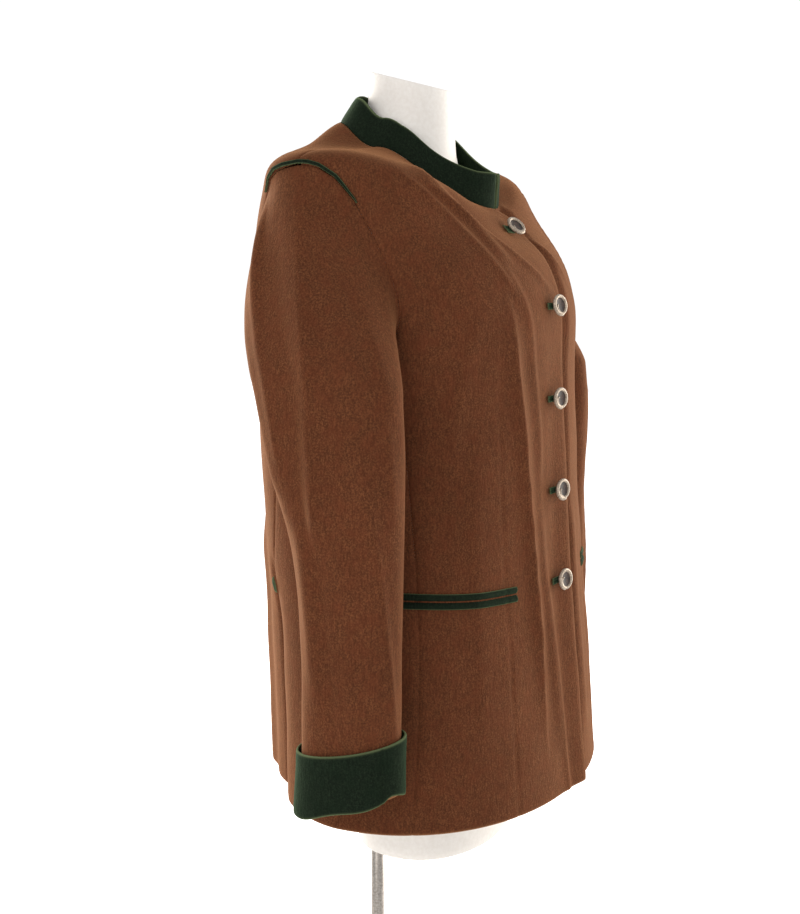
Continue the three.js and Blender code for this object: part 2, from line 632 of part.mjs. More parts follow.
// ---------------------------------------------------------------- trims on the body
/** Armhole piping: a strip on the body side of the seam that tapers to both ends. */
function pipingPlaces(side) {
  const levels = [7.75, 8, 8.25, 8.5, 8.75, 9];
  const seamPlaces = [
    ...levels.map((level) => ({ angle: byLevel(armholeRows, 'front', level), level })),
    ...levels.slice(0, -1).reverse().map((level) => ({ angle: byLevel(armholeRows, 'back', level), level })),
  ];
  const last = seamPlaces.length - 1;
  return [0.3, PIPING_WIDTH].map((inset, rowIndex) => {
    const row = seamPlaces.map((place, i) => {
      const t = i / last;
      const taper = Math.sin(Math.PI * THREE.MathUtils.clamp(t, 0.04, 0.96));
      const width = rowIndex === 0 ? inset : 1.4 + (inset - 1.4) * taper;
      const toward = place.angle < 90 ? -1 : 1;
      const shift = Math.abs(place.angle - 90) < 0.1 ? 0 : toward * THREE.MathUtils.radToDeg(width / 190);
      const up = Math.exp(-(((place.angle - 90) / 9) ** 2)) * width / 60;
      return { angle: side * (place.angle + shift), level: place.level + up, lift: LIE_GAP + TRIM + 1.2 };
    });
    return row;
  });
}

for (const [name, side] of [['right', 1], ['left', -1]]) {
  const rows = pipingPlaces(side);
  const ordered = side > 0 ? rows.map((row) => [...row].reverse()) : rows;
  add(`piping_${name}`, bodyWall(ordered, TRIM), GREEN);
}

const pocketRows = named(POCKET_COLUMNS, POCKET_LINE);
const LEVEL_OF_HEIGHT = (z) => {
  let low = 0;
  let high = NECK_LEVEL;
  for (let i = 0; i < 24; i += 1) {
    const mid = (low + high) / 2;
    if (smooth(body.zSide, mid) < z) low = mid;
    else high = mid;
  }
  return low;
};

/** Strip on the body along the pocket mouth, between two heights over it. */
function weltPlaces(side, below, above) {
  const columns = 10;
  return [below, above].map((offset) => {
    const row = [];
    for (let j = 0; j <= columns; j += 1) {
      const t = (j / columns) * (pocketRows.length - 1);
      const angle = smooth(pocketRows.map((p) => p.angle), t);
      const level = LEVEL_OF_HEIGHT(smooth(pocketRows.map((p) => p.z), t) + offset);
      row.push({ angle: side * angle, level, lift: LIE_GAP + TRIM });
    }
    return side > 0 ? row.reverse() : row;
  });
}
for (const [name, side] of [['right', 1], ['left', -1]]) {
  const half = WELT_MOUTH / 2;
  add(`welt_${name}_upper`, bodyWall(weltPlaces(side, half, half + WELT_HEIGHT), TRIM), GREEN);
  add(`welt_${name}_lower`, bodyWall(weltPlaces(side, -half - WELT_HEIGHT, -half), TRIM), GREEN);
}

/** Small arrowhead tab over the top of a side-back vent, pointing up. */
function ventTabPlaces(side) {
  const seam = sideBackAt(VENT_LEVEL);
  return VENT_TAB_ROWS.map(([up, half]) => {
    const row = [-1, -0.4, 0.4, 1].map((across) => {
      const angle = seam + across * THREE.MathUtils.radToDeg(half / 200);
      return { angle: side * angle, level: VENT_LEVEL + up / 112, lift: LIE_GAP + 1 + TRIM };
    });
    return side > 0 ? row.reverse() : row;
  });
}
for (const [name, side] of [['right', 1], ['left', -1]]) {
  add(`vent_tab_${name}`, bodyWall(ventTabPlaces(side), TRIM), GREEN);
}

// ---------------------------------------------------------------- buttonholes and buttons
function holePlaces(level) {
  const z = smooth(body.zFront, level);
  const dz = smooth(body.zFront, level + 0.1) - z;
  const half = HOLE_HEIGHT / 2 / dz * 0.1;
  return [level - half, level + half].map((rowLevel) => {
    const row = [];
    for (let j = 0; j <= 4; j += 1) {
      const angle = angleAcrossFront(THREE.MathUtils.lerp(1, HOLE_LENGTH, j / 4), level);
      row.push({ angle, level: rowLevel, lift: LIE_GAP + 1 + TRIM + flareAt(angle, rowLevel) });
    }
    return row.reverse();
  });
}

/** Shank button, turned about its own axis: back, rim bead, dished face. */
function buttonGeometry() {
  const r = BUTTON_RADIUS;
  const outlinePoints = [
    [0, SHANK_FOOT - BUTTON_LIFT], [2.6, SHANK_FOOT - BUTTON_LIFT], [2.6, 0], [r * 0.8, 0.2], [r, 2.0],
    [r * 0.98, 3.6], [r * 0.84, 4.6], [r * 0.62, 3.9], [r * 0.3, 3.2], [0, 3.0],
  ].map(([x, y]) => new THREE.Vector2(x, y));
  return new THREE.LatheGeometry(outlinePoints, 28);
}

BUTTON_LEVELS.forEach((level, i) => {
  const order = BUTTON_LEVELS.length - i;
  add(`buttonhole_${order}`, bodyWall(holePlaces(level), TRIM), GREEN);
  const geometry = buttonGeometry();
  const normal = bodyFormNormal(1, level);
  const turn = new THREE.Quaternion().setFromUnitVectors(new THREE.Vector3(0, 1, 0), normal);
  const place = bodySurface(0, level).addScaledVector(normal, BUTTON_LIFT + flareAt(0, level));
  geometry.applyQuaternion(turn);
  geometry.translate(place.x, place.y, place.z);
  add(`button_${order}`, geometry, BUTTON);
});

// ---------------------------------------------------------------- dress form and stand
/** Solid of stacked rings with a flat cap at each end. */
function ringSolid(pointAt, rows, columns) {
  const flat = [];
  for (let k = 0; k < rows; k += 1) {
    for (let j = 0; j < columns; j += 1) flat.push(...pointAt(j * 360 / columns, k).toArray());
  }
  const index = [];
  for (let k = 0; k < rows - 1; k += 1) {
    for (let j = 0; j < columns; j += 1) {
      const a = k * columns + j;
      const b = k * columns + (j + 1) % columns;
      index.push(a, a + columns, b + columns, a, b + columns, b);
    }
  }
  for (const [row, turn] of [[0, 1], [rows - 1, -1]]) {
    const centre = flat.length / 3;
    const middle = new THREE.Vector3();
    for (let j = 0; j < columns; j += 1) {
      middle.add(new THREE.Vector3(...flat.slice((row * columns + j) * 3, (row * columns + j) * 3 + 3)));
    }
    flat.push(...middle.divideScalar(columns).toArray());
    for (let j = 0; j < columns; j += 1) {
      const a = row * columns + j;
      const b = row * columns + (j + 1) % columns;
      if (turn > 0) index.push(centre, a, b);
      else index.push(centre, b, a);
    }
  }
  const geometry = new THREE.BufferGeometry();
  geometry.setAttribute('position', new THREE.Float32BufferAttribute(flat, 3));
  geometry.setIndex(index);
  geometry.computeVertexNormals();
  return geometry;
}

function formPoint(angle, ring) {
  const cos = Math.cos(degrees(angle));
  const sin = Math.sin(degrees(angle));
  const half = smooth(form.half, ring);
  const depth = smooth(form.depth, ring);
  const reach = outline(half, depth, smooth(form.power, ring), cos, sin);
  const y = smooth(form.mid, ring) - reach * cos;
  const z = smooth(form.z, ring) - smooth(form.tilt, ring) * reach * cos;
  return new THREE.Vector3(-reach * sin, y, z);
}

const FORM_STEPS = 2;
add('dress_form', ringSolid(
  (angle, k) => formPoint(angle, k / FORM_STEPS), (FORM_RINGS.length - 1) * FORM_STEPS + 1, 32), FORM);

const FORM_BOTTOM = FORM_RINGS[0][3];
const poleLength = FORM_BOTTOM - BASE_HEIGHT - 2 * SEAM_GAP;
const pole = new THREE.CylinderGeometry(POLE_RADIUS, POLE_RADIUS, poleLength, 24);
pole.rotateX(Math.PI / 2);
pole.translate(POLE_X, POLE_Y, BASE_HEIGHT + SEAM_GAP + poleLength / 2);
add('pole', pole, STEEL);

const basePoints = [
  [0, 0], [BASE_RADIUS, 0], [BASE_RADIUS, BASE_HEIGHT - 5], [BASE_RADIUS - 2, BASE_HEIGHT - 2],
  [BASE_RADIUS - 6, BASE_HEIGHT], [0, BASE_HEIGHT],
].map(([x, y]) => new THREE.Vector2(x, y));
const base = new THREE.LatheGeometry(basePoints, 64);
base.rotateX(Math.PI / 2);
base.translate(0, BASE_CENTRE_Y, 0);
add('base_plate', base, STEEL);

export default jacket;
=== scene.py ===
"""Looks of a women's brown loden jacket on a limbless dress form.

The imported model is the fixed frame. Every cloth piece is a thin closed shell on the same
body, sleeve, cuff and collar forms as the model, with finer creases, rolled edges and a
milled wool finish. Sizes are millimetres unless a name says otherwise.
"""

import logging
import math
from dataclasses import dataclass
from enum import Enum

import bpy
import numpy as np
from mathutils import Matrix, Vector


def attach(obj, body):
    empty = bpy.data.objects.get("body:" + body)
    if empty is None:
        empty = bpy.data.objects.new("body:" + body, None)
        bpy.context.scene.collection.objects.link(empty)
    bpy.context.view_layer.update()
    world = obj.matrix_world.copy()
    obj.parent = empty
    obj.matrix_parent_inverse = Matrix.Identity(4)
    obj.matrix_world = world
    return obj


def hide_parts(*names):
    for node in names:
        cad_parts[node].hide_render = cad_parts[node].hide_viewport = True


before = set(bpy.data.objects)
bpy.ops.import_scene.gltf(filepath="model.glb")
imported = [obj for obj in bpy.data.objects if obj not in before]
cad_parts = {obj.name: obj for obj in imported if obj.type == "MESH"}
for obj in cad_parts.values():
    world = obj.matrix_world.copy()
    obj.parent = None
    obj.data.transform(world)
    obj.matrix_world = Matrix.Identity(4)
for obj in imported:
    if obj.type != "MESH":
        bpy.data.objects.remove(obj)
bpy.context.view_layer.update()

Array = np.ndarray
Colour = tuple[float, float, float]
log = logging.getLogger("loden_jacket")
MM = 0.001

# Thickness of the loden and of the green trim cloth.
CLOTH = 2.2
TRIM = 1.6
# Gap between pieces that are sewn together, and between a trim and the panel under it.
SEAM_GAP = 0.1
LIE_GAP = 0.4
# Body levels of the neck seam, shoulder tip, underarm (and its dip) and tops of the vents.
NECK = 11.0
SHOULDER = 8.8
UNDERARM = 5.25
UNDERARM_DIP = 0.3
VENT_LEVEL = 2.0


class Side(Enum):
    """Side of the wearer: the sign turns the angle round the body."""

    RIGHT = 1
    LEFT = -1

    @property
    def word(self) -> str:
        """Lower-case name as node names use it."""
        return self.name.lower()


class Edge(Enum):
    """How the border of a cloth piece is finished, and how much painted highlight lies along it."""

    SEAM = (0.0, 1.0)
    TURNED = (1.0, 1.2)
    PLAIN = (0.8, 0.35)

    @property
    def painted_highlight(self) -> float:
        """How much painted highlight shows along the border, from 0 to 1."""
        return self.value[0]

    @property
    def highlight_width(self) -> float:
        """Width over which it fades."""
        return self.value[1]


# ------------------------------------------------------------------ curves and tables
def smoothstep(x: Array, low: float, high: float) -> Array:
    """Rises from 0 at low to 1 at high, as 3t^2 - 2t^3.

    Args:
        x: Values.
        low: Where the rise starts.
        high: Where it ends.

    Returns:
        The eased fraction of each value.
    """
    t = np.clip((np.asarray(x, float) - low) / (high - low), 0, 1)
    return t * t * (3 - 2 * t)


def through(values: Array, t: Array) -> Array:
    """Catmull-Rom curve through equally spaced numbers, its end tangents mirrored.

    Args:
        values: The numbers, at t = 0, 1, 2 and so on.
        t: Where the curve is wanted.

    Returns:
        The curve's value at each t.
    """
    v = np.asarray(values, float)
    p = np.concatenate([[2 * v[0] - v[1]], v, [2 * v[-1] - v[-2]]])
    i = np.clip(np.floor(t).astype(int), 0, len(v) - 2)
    f = t - i
    a, b, c, d = p[i], p[i + 1], p[i + 2], p[i + 3]
    return b + 0.5 * f * (c - a + f * (2 * a - 5 * b + 4 * c - d + f * (3 * (b - c) + d - a)))


def lerp(a: Array, b: Array, t: Array) -> Array:
    """Straight blend from a to b."""
    return a + (b - a) * t


class Table:
    """Rows of numbers with named columns, read as smooth curves."""

    def __init__(self, columns: str, rows: list[list[float]]) -> None:
        """Stores the rows.

        Args:
            columns: The columns' names, parted by spaces.
            rows: A row of numbers for each section.
        """
        self._at = {name: i for i, name in enumerate(columns.split())}
        self._rows = np.array(rows, float)

    def column(self, name: str) -> Array:
        """The numbers of one column."""
        return self._rows[:, self._at[name]]

    def at(self, name: str, t: Array) -> Array:
        """A column's smooth value at row number t."""
        return through(self.column(name), np.asarray(t, float))

    def keyed(self, name: str, level: Array) -> Array:
        """A column's smooth value at a level, by the rows' own level column.

        Args:
            name: The column.
            level: Body levels.

        Returns:
            Its value at each level, held beyond the ends.
        """
        keys = self.column("level")
        return through(self.column(name), np.interp(level, keys, np.arange(len(keys))))


BODY = Table(
    "half front back mid z_front z_side z_back power_front power_back",
    [
        [228, -150, 170, 4, 351, 356, 364, 2.3, 1.7],
        [223, -141, 170, 8, 458, 460, 462, 2.35, 1.8],
        [214, -132, 169, 16, 570, 570, 570, 2.4, 2.0],
        [201, -129, 172, 23, 645, 645, 645, 2.5, 2.2],
        [197, -127, 176, 27, 720, 720, 720, 2.5, 2.3],
        [196, -125, 176, 30, 785, 788, 790, 2.5, 2.4],
        [195, -125, 174, 30, 850, 852, 862, 2.5, 2.5],
        [195, -109, 172, 37, 898, 905, 925, 2.35, 2.6],
        [197, -80, 160, 46, 928, 957, 980, 2.15, 2.5],
        [200, -67, 138, 60, 943, 999, 1018, 1.95, 2.3],
        [139, -62, 123, 51, 949, 1012, 1036, 1.9, 2.1],
        [75, -59, 113, 40, 954, 1024, 1052, 2.0, 2.0],
    ],
)
FRONT_EDGE = Table(
    "level past flare",
    [
        [0, 26, 9], [2, 26, 8], [4, 26, 4], [6, 26, 0], [8, 26, 0], [9, 23, 0],
        [10.3, 11, 0], [10.75, -0.6, 0], [11, -0.6, 0],
    ],
)
SIDE_SEAMS = Table(
    "level front back", [[0, 71.5, 121], [2, 67.5, 118], [4, 68.5, 112], [5.25, 74, 107]]
)
ARMHOLE = Table(
    "level front back",
    [
        [5.25, 74, 107], [5.6, 70.5, 111.5], [6, 69.3, 113.5], [7, 72.5, 114], [8, 78.1, 110],
        [8.45, 81.2, 104], [8.68, 84.4, 99], [8.77, 87.2, 94.8], [8.8, 90, 90],
    ],
)
ARM = Table(
    "z x y across depth rise",
    [
        [772, -248, 0, 44, 72, 6], [700, -255, -13, 43, 64, 9], [640, -261, -25, 41, 54, 10],
        [560, -264, -29.5, 37.5, 49, 11], [480, -265, -30, 34.5, 48.5, 12],
        [404, -266, -28.5, 32.5, 50, 12],
    ],
)
FORM = Table(
    "half depth mid z power tilt",
    [
        [98, 67, 7, 281, 2.2, 0], [105, 73, 7, 287, 2.2, 0], [108, 75, 7, 310, 2.2, 0],
        [114, 80, 7, 360, 2.2, 0], [148, 104, 10, 470, 2.2, 0], [150, 104, 14, 560, 2.2, 0],
        [128, 90, 18, 650, 2.2, 0], [138, 100, 20, 740, 2.2, 0], [160, 118, 22, 840, 2.2, 0],
        [164, 104, 30, 900, 2.3, 0], [160, 72, 42, 948, 2.2, 0.05], [112, 52, 42, 988, 2.0, 0.12],
        [62, 47, 38, 1014, 2.0, 0.2], [46.5, 46.5, 37, 1045, 2.0, 0.27],
        [45.5, 45.5, 36, 1084, 2.0, 0.27], [42.5, 42.5, 36, 1088, 2.0, 0.27],
    ],
)


@dataclass(frozen=True)
class Crease:
    """A soft ridge of cloth, or a trough where its height is negative.

    Attributes:
        start: Where it starts along the cloth, in levels or sleeve rings.
        end: Where it ends.
        path: Angles that a Bezier curve takes from start to end, in degrees.
        near: Half width on the side of smaller angles.
        far: Half width on the side of larger angles.
        height: Rise over the cloth.
        power: Roundness of its section: 2 is a soft bell, 1.2 a sharp crest.
    """

    start: float
    end: float
    path: tuple[float, ...]
    near: float
    far: float
    height: float
    power: float = 2.0

    def rise(self, along: Array, angle: Array, radius: float) -> Array:
        """Height at places: fade along the path times exp(-|distance / half width|^power).

        Args:
            along: Levels or ring numbers.
            angle: Degrees round the form.
            radius: Radius that turns degrees into a distance.

        Returns:
            The height at each place.
        """
        t = np.clip((along - self.start) / (self.end - self.start), 0, 1)
        last = len(self.path) - 1
        path = sum(
            math.comb(last, k) * t**k * (1 - t) ** (last - k) * a for k, a in enumerate(self.path)
        )
        away = np.radians(angle - path) * radius
        width = np.where(away > 0, self.far, self.near)
        fade = smoothstep(t, 0, 0.22) * (1 - smoothstep(t, 0.72, 1))
        return self.height * fade * np.exp(-np.abs(away / width) ** self.power)


BODY_FOLDS = (
    Crease(0.6, 6.3, (20, 23, 34), 13, 13, 4.0),
    Crease(6.6, 10.6, (24, 44, 66), 11, 11, 3.0),
    Crease(0.3, 3.4, (8, 12, 17), 11, 11, 2.6),
    Crease(0.2, 3.2, (-24, -21, -20), 13, 13, 3.2),
    Crease(-0.9, 2.4, (125, 124, 120), 25, 25, -9),
    Crease(-0.9, 2.4, (-125, -124, -120), 25, 25, -9),
    Crease(-0.8, 3.4, (153, 150, 144), 20, 20, 11),
    Crease(-0.8, 3.4, (-153, -150, -144), 20, 20, 11),
    Crease(3.0, 6.2, (158, 150, 138), 14, 14, 2.6),
    Crease(3.4, 6.3, (-157, -148, -136), 14, 14, 2.4),
)
BODY_CREASES = (
    Crease(5.9, 9.4, (25, 36, 50, 68), 5, 10, 2.4, 1.4),
    Crease(6.1, 9.3, (-8, 24, 40, 60), 5, 10, 2.8, 1.4),
    Crease(2.9, 7.6, (15, 12, 20, 38), 6, 11, 2.0, 1.6),
    Crease(0.1, 6.7, (19, 23, 28, 34), 3, 10, 3.8, 1.1),
    Crease(-0.6, 2.1, (3, 4, 12), 5, 9, 2.6, 1.4),
    Crease(6.2, 9.4, (-30, -8, -12), 6, 9, 2.2, 1.6),
    Crease(-2.6, 6.7, (38, 40, 36), 1.5, 1.5, -1.2),
    Crease(0.4, 4.4, (52, 50, 47), 16, 9, 1.8, 1.6),
    Crease(3.4, 6.2, (58, 52, 44), 8, 12, 1.6, 1.6),
    Crease(-2.6, 6.7, (-38, -40, -36), 1.5, 1.5, -1.2),
    Crease(0.2, 5.2, (-44, -47, -52), 8, 14, 2.2, 1.5),
    Crease(6.2, 9.2, (-36, -52, -64), 9, 5, 2.4, 1.4),
    Crease(2.6, 7.0, (172, 166, 150), 6, 10, 2.2, 1.4),
    Crease(4.8, 8.6, (150, 138, 124), 9, 6, 2.4, 1.4),
    Crease(2.2, 6.6, (-170, -160, -148), 10, 6, 2.0, 1.4),
    Crease(5.2, 8.8, (-148, -134, -122), 6, 9, 2.2, 1.4),
    Crease(-0.4, 3.2, (168, 165, 170), 7, 12, 2.4, 1.5),
)
ARM_FOLDS = (
    Crease(-0.1, 3.1, (84, 86, 101), 4, 10, 7.6, 1.15),
    Crease(-0.1, 3.1, (100, 103, 118), 9, 12, -4.0, 1.5),
    Crease(0.9, 5.6, (56, 52, 26, 2), 7, 12, 3.8, 1.4),
    Crease(0.3, 2.2, (158, 150, 140), 12, 12, 3.0),
    Crease(2.2, 4.8, (118, 122, 112), 14, 14, 3.2),
    Crease(1.0, 3.4, (262, 250, 240), 12, 12, -3.0),
)
ARM_CREASES = (
    Crease(-0.2, 2.0, (134, 126, 130), 7, 10, 2.8, 1.4),
    Crease(2.1, 5.6, (112, 100, 86), 6, 7, -3.0, 1.5),
    Crease(0.0, 1.4, (52, 38, 16), 7, 8, -2.6, 1.6),
    Crease(2.4, 5.7, (74, 72, 60), 7, 10, 2.2, 1.4),
    Crease(0.3, 2.8, (30, 22, 14), 8, 6, 2.0, 1.5),
    Crease(0.8, 3.6, (210, 196, 180), 8, 6, 2.6, 1.4),
    Crease(2.6, 5.4, (200, 214, 222), 7, 10, 2.4, 1.4),
)


def ripple(p: Array, amount: float = 0.4) -> Array:
    """Slow unevenness of worn cloth: three sines of the place, crossing at slants.

    Args:
        p: Points.
        amount: Largest height, about.

    Returns:
        A height at each point.
    """
    x, y, z = p[..., 0], p[..., 1], p[..., 2]
    first = np.sin(z / 13 + 1.7 * np.sin(x / 41 + y / 57)) * np.sin(x / 19 - y / 23 + 0.6)
    second = np.sin(z / 29 - x / 33 + 2.1) * np.cos(y / 21 + z / 47)
    third = np.sin(x / 8.5 + y / 9.5 + 2.2 * np.sin(z / 26))
    return amount * (0.55 * first + 0.75 * second + 0.18 * third)


def unit(v: Array) -> Array:
    """Vectors scaled to length 1."""
    return v / np.maximum(np.linalg.norm(v, axis=-1, keepdims=True), 1e-12)


def stack(*parts: Array) -> Array:
    """Arrays of x, y and z put together as points."""
    return np.stack(np.broadcast_arrays(*parts), -1)


# ------------------------------------------------------------------ the worn forms
class WornBody:
    """The jacket's body as a surface of angle and level.

    The angle is degrees from the centre front towards the wearer's right, and the level is
    the row of the ring table, 0 at the hem and 11 at the neck seam.

    Attributes:
        NECK_SAG: How far the neck seam sags at the side.
        NECK_FORE: Its further sag between side and front, as a factor of sin^2 cos^2.
        NECK_REAR: Its lift between side and back, as a factor of sin^4 cos^2.
        TIP_DROP: How far the rear of the shoulder tip drops.
        TIP_ANGLE: Degrees from the centre back of that drop.
    """

    NECK_SAG = 8.0
    NECK_FORE = 20.0
    NECK_REAR = 80.0
    TIP_DROP = 5.0
    TIP_ANGLE = 78.0

    @staticmethod
    def form(angle: Array, level: Array) -> Array:
        """Smooth ring outline |cos/depth|^n + |sin/half|^n = 1 about the ring's middle.

        The height goes from side to front or back as the cosine squared, less the sag of the
        neck seam and a soft round drop at the rear of the shoulder tip.

        Args:
            angle: Degrees.
            level: Levels.

        Returns:
            Points of the unfolded body.
        """
        cos, sin = np.cos(np.radians(angle)), np.sin(np.radians(angle))
        mid = BODY.at("mid", level)
        fore = cos > 0
        depth = np.where(fore, mid - BODY.at("front", level), BODY.at("back", level) - mid)
        power = np.where(fore, BODY.at("power_front", level), BODY.at("power_back", level))
        half = BODY.at("half", level)
        reach = (np.abs(cos / depth) ** power + np.abs(sin / half) ** power) ** (-1 / power)
        side = BODY.at("z_side", level)
        end = np.where(fore, BODY.at("z_front", level), BODY.at("z_back", level))
        bend = np.where(fore, WornBody.NECK_FORE, -WornBody.NECK_REAR * sin**2) * sin**2 * cos**2
        sag = (WornBody.NECK_SAG * sin**2 + bend) * smoothstep(level, 9.3, NECK)
        from_tip = ((angle % 360 - 180) ** 2 - WornBody.TIP_ANGLE**2) / 2600
        tip = WornBody.TIP_DROP * np.exp(-(((level - 9.0) / 0.5) ** 2) - from_tip**2)
        return stack(-reach * sin, mid - reach * cos, side + (end - side) * cos * cos - sag - tip)

    @classmethod
    def normal(cls, angle: Array, level: Array) -> Array:
        """Outward unit normal of the unfolded body, by differences of its form."""
        kept = np.clip(level, 0.02, NECK - 0.02)
        across = cls.form(angle + 0.4, kept) - cls.form(angle - 0.4, kept)
        up = cls.form(angle, kept + 0.02) - cls.form(angle, kept - 0.02)
        return -unit(np.cross(across, up))

    @classmethod
    def surface(cls, angle: Array, level: Array, lift: Array = 0.0, fine: bool = True) -> Array:
        """Worn surface: the form, with its folds, creases and ripple along the normal.

        Args:
            angle: Degrees.
            level: Levels.
            lift: Height over the surface.
            fine: Whether creases and ripple are laid on too.

        Returns:
            Points of the surface.
        """
        angle, level = np.broadcast_arrays(np.asarray(angle, float), np.asarray(level, float))
        base = cls.form(angle, level)
        turn = np.where(angle > 250, angle - 360, angle)
        height = sum(fold.rise(level, turn, 180) for fold in BODY_FOLDS) + lift
        if fine:
            height = height + sum(c.rise(level, turn, 180) for c in BODY_CREASES) + ripple(base)
        return base + cls.normal(angle, level) * np.asarray(height)[..., None]

    @classmethod
    def across_front(cls, distance: Array, level: Array) -> Array:
        """Angle whose point lies this far round from the centre front."""
        reach = BODY.at("mid", level) - BODY.at("front", level)
        return np.degrees(np.arctan2(distance, reach))

    @classmethod
    def seam_angle(cls, angle: Array, level: Array) -> Array:
        """Degrees that half a seam's gap takes at a place."""
        step = np.linalg.norm(cls.form(angle + 0.5, level) - cls.form(angle - 0.5, level), axis=-1)
        return SEAM_GAP / 2 / step


def side_front(level: Array) -> Array:
    """Angle of the side-front seam, the armhole's front and the shoulder seam, by level."""
    upper = np.where(level < SHOULDER, ARMHOLE.keyed("front", level), 90.0)
    return np.where(level <= UNDERARM, SIDE_SEAMS.keyed("front", level), upper)


def side_back(level: Array) -> Array:
    """Angle of the side-back seam, the armhole's back and the shoulder seam, by level."""
    upper = np.where(level < SHOULDER, ARMHOLE.keyed("back", level), 90.0)
    return np.where(level <= UNDERARM, SIDE_SEAMS.keyed("back", level), upper)


def spaced(length: float, step: float, rim: tuple[float, ...] = (0.0, 0.35, 0.9, 1.7, 3.0)) -> Array:
    """Fractions from 0 to 1 over a length, close together near both ends.

    Args:
        length: Whole length.
        step: Distance between the ones in between.
        rim: Distances of the close ones from each end.

    Returns:
        The fractions.
    """
    near = np.array(rim) / length
    count = max(int(round((1 - 2 * near[-1]) * length / step)), 1)
    middle = np.linspace(near[-1], 1 - near[-1], count + 1)[1:-1]
    return np.concatenate([near, middle, 1 - near[::-1]])


def rows_between(low: float, high: float, angle: float, step: float) -> Array:
    """Levels from low to high whose rows lie evenly apart along the cloth.

    Args:
        low: First level.
        high: Last level.
        angle: Angle along which the distance is taken.
        step: Distance between rows.

    Returns:
        The levels.
    """
    fine = np.linspace(low, high, 400)
    line = WornBody.form(np.full_like(fine, angle), fine)
    length = np.concatenate([[0], np.cumsum(np.linalg.norm(np.diff(line, axis=0), axis=1))])
    return np.interp(spaced(length[-1], step) * length[-1], length, fine)


# ------------------------------------------------------------------ shells
def along_lengths(p: Array, axis: int) -> tuple[Array, Array]:
    """Distance of each grid point from the two ends of its line.

    Args:
        p: Grid of points.
        axis: Grid axis that the lines run along.

    Returns:
        The distances from the first end and from the last.
    """
    gaps = np.linalg.norm(np.diff(p, axis=axis), axis=-1)
    start = np.zeros_like(np.take(gaps, [0], axis=axis))
    run = np.concatenate([start, np.cumsum(gaps, axis=axis)], axis=axis)
    return run, np.take(run, [-1], axis=axis) - run


def roll(distance: Array, edge: Edge) -> Array:
    """How far the cloth's face falls towards a border.

    A seam falls as a soft groove, a turned edge as a quarter circle over its thickness.

    Args:
        distance: Distance from the border.
        edge: How the border is finished.

    Returns:
        The height to add, zero or negative.
    """
    if edge is Edge.PLAIN:
        return np.zeros_like(distance)
    if edge is Edge.SEAM:
        return -0.85 * np.exp(-(distance / 1.7) ** 2) - 0.35 * np.exp(-(distance / 7) ** 2)
    t = np.clip(1 - distance / 1.5, 0, 1)
    return -0.95 * (1 - np.sqrt(1 - t * t)) + 0.25 * np.exp(-((distance - 7) / 3) ** 2)


def make_mesh(name: str, points: Array, faces: Array, edge: Array | None = None) -> bpy.types.Object:
    """Mesh object with smooth faces that point outwards, and an edge attribute that weights a painted
    highlight.

    Args:
        name: The object's name.
        points: Vertices, in millimetres.
        faces: Corner numbers of its quads or triangles; a triangle repeats its last corner.
        edge: Weight of the painted edge highlight at each vertex, from 0 to 1, highest at a border.

    Returns:
        The object, linked to the scene.
    """
    a, b, c, d = (points[faces[:, k]] for k in range(4))
    volume = np.einsum("ij,ij->", a, np.cross(b, c)) + np.einsum("ij,ij->", a, np.cross(c, d))
    if volume < 0:
        faces = faces[:, ::-1]
    lists = faces.tolist()
    lists = [f if len(set(f)) == 4 else list(dict.fromkeys(f)) for f in lists]
    mesh = bpy.data.meshes.new(name)
    mesh.from_pydata((points * MM).tolist(), [], lists)
    mesh.polygons.foreach_set("use_smooth", np.ones(len(lists), bool))
    if edge is not None:
        # The edge attribute carries the painted highlight along the borders.
        layer = mesh.attributes.new("edge", "FLOAT", "POINT")
        layer.data.foreach_set("value", np.asarray(edge, np.float32))
    mesh.update()
    obj = bpy.data.objects.new(name, mesh)
    bpy.context.scene.collection.objects.link(obj)
    return obj


def strip_faces(rows: int, cols: int, first: int, closed: bool = False) -> Array:
    """Quads of a grid whose vertices are numbered row by row.

    Args:
        rows: Rows of vertices.
        cols: Vertices in a row.
        first: Number of the first vertex.
        closed: Whether each row closes on itself.

    Returns:
        The quads.
    """
    across = cols if closed else cols - 1
    i, j = np.meshgrid(np.arange(rows - 1), np.arange(across), indexing="ij")
    k = (j + 1) % cols
    corners = (i * cols + j, i * cols + k, (i + 1) * cols + k, (i + 1) * cols + j)
    return first + np.stack([c.ravel() for c in corners], 1)


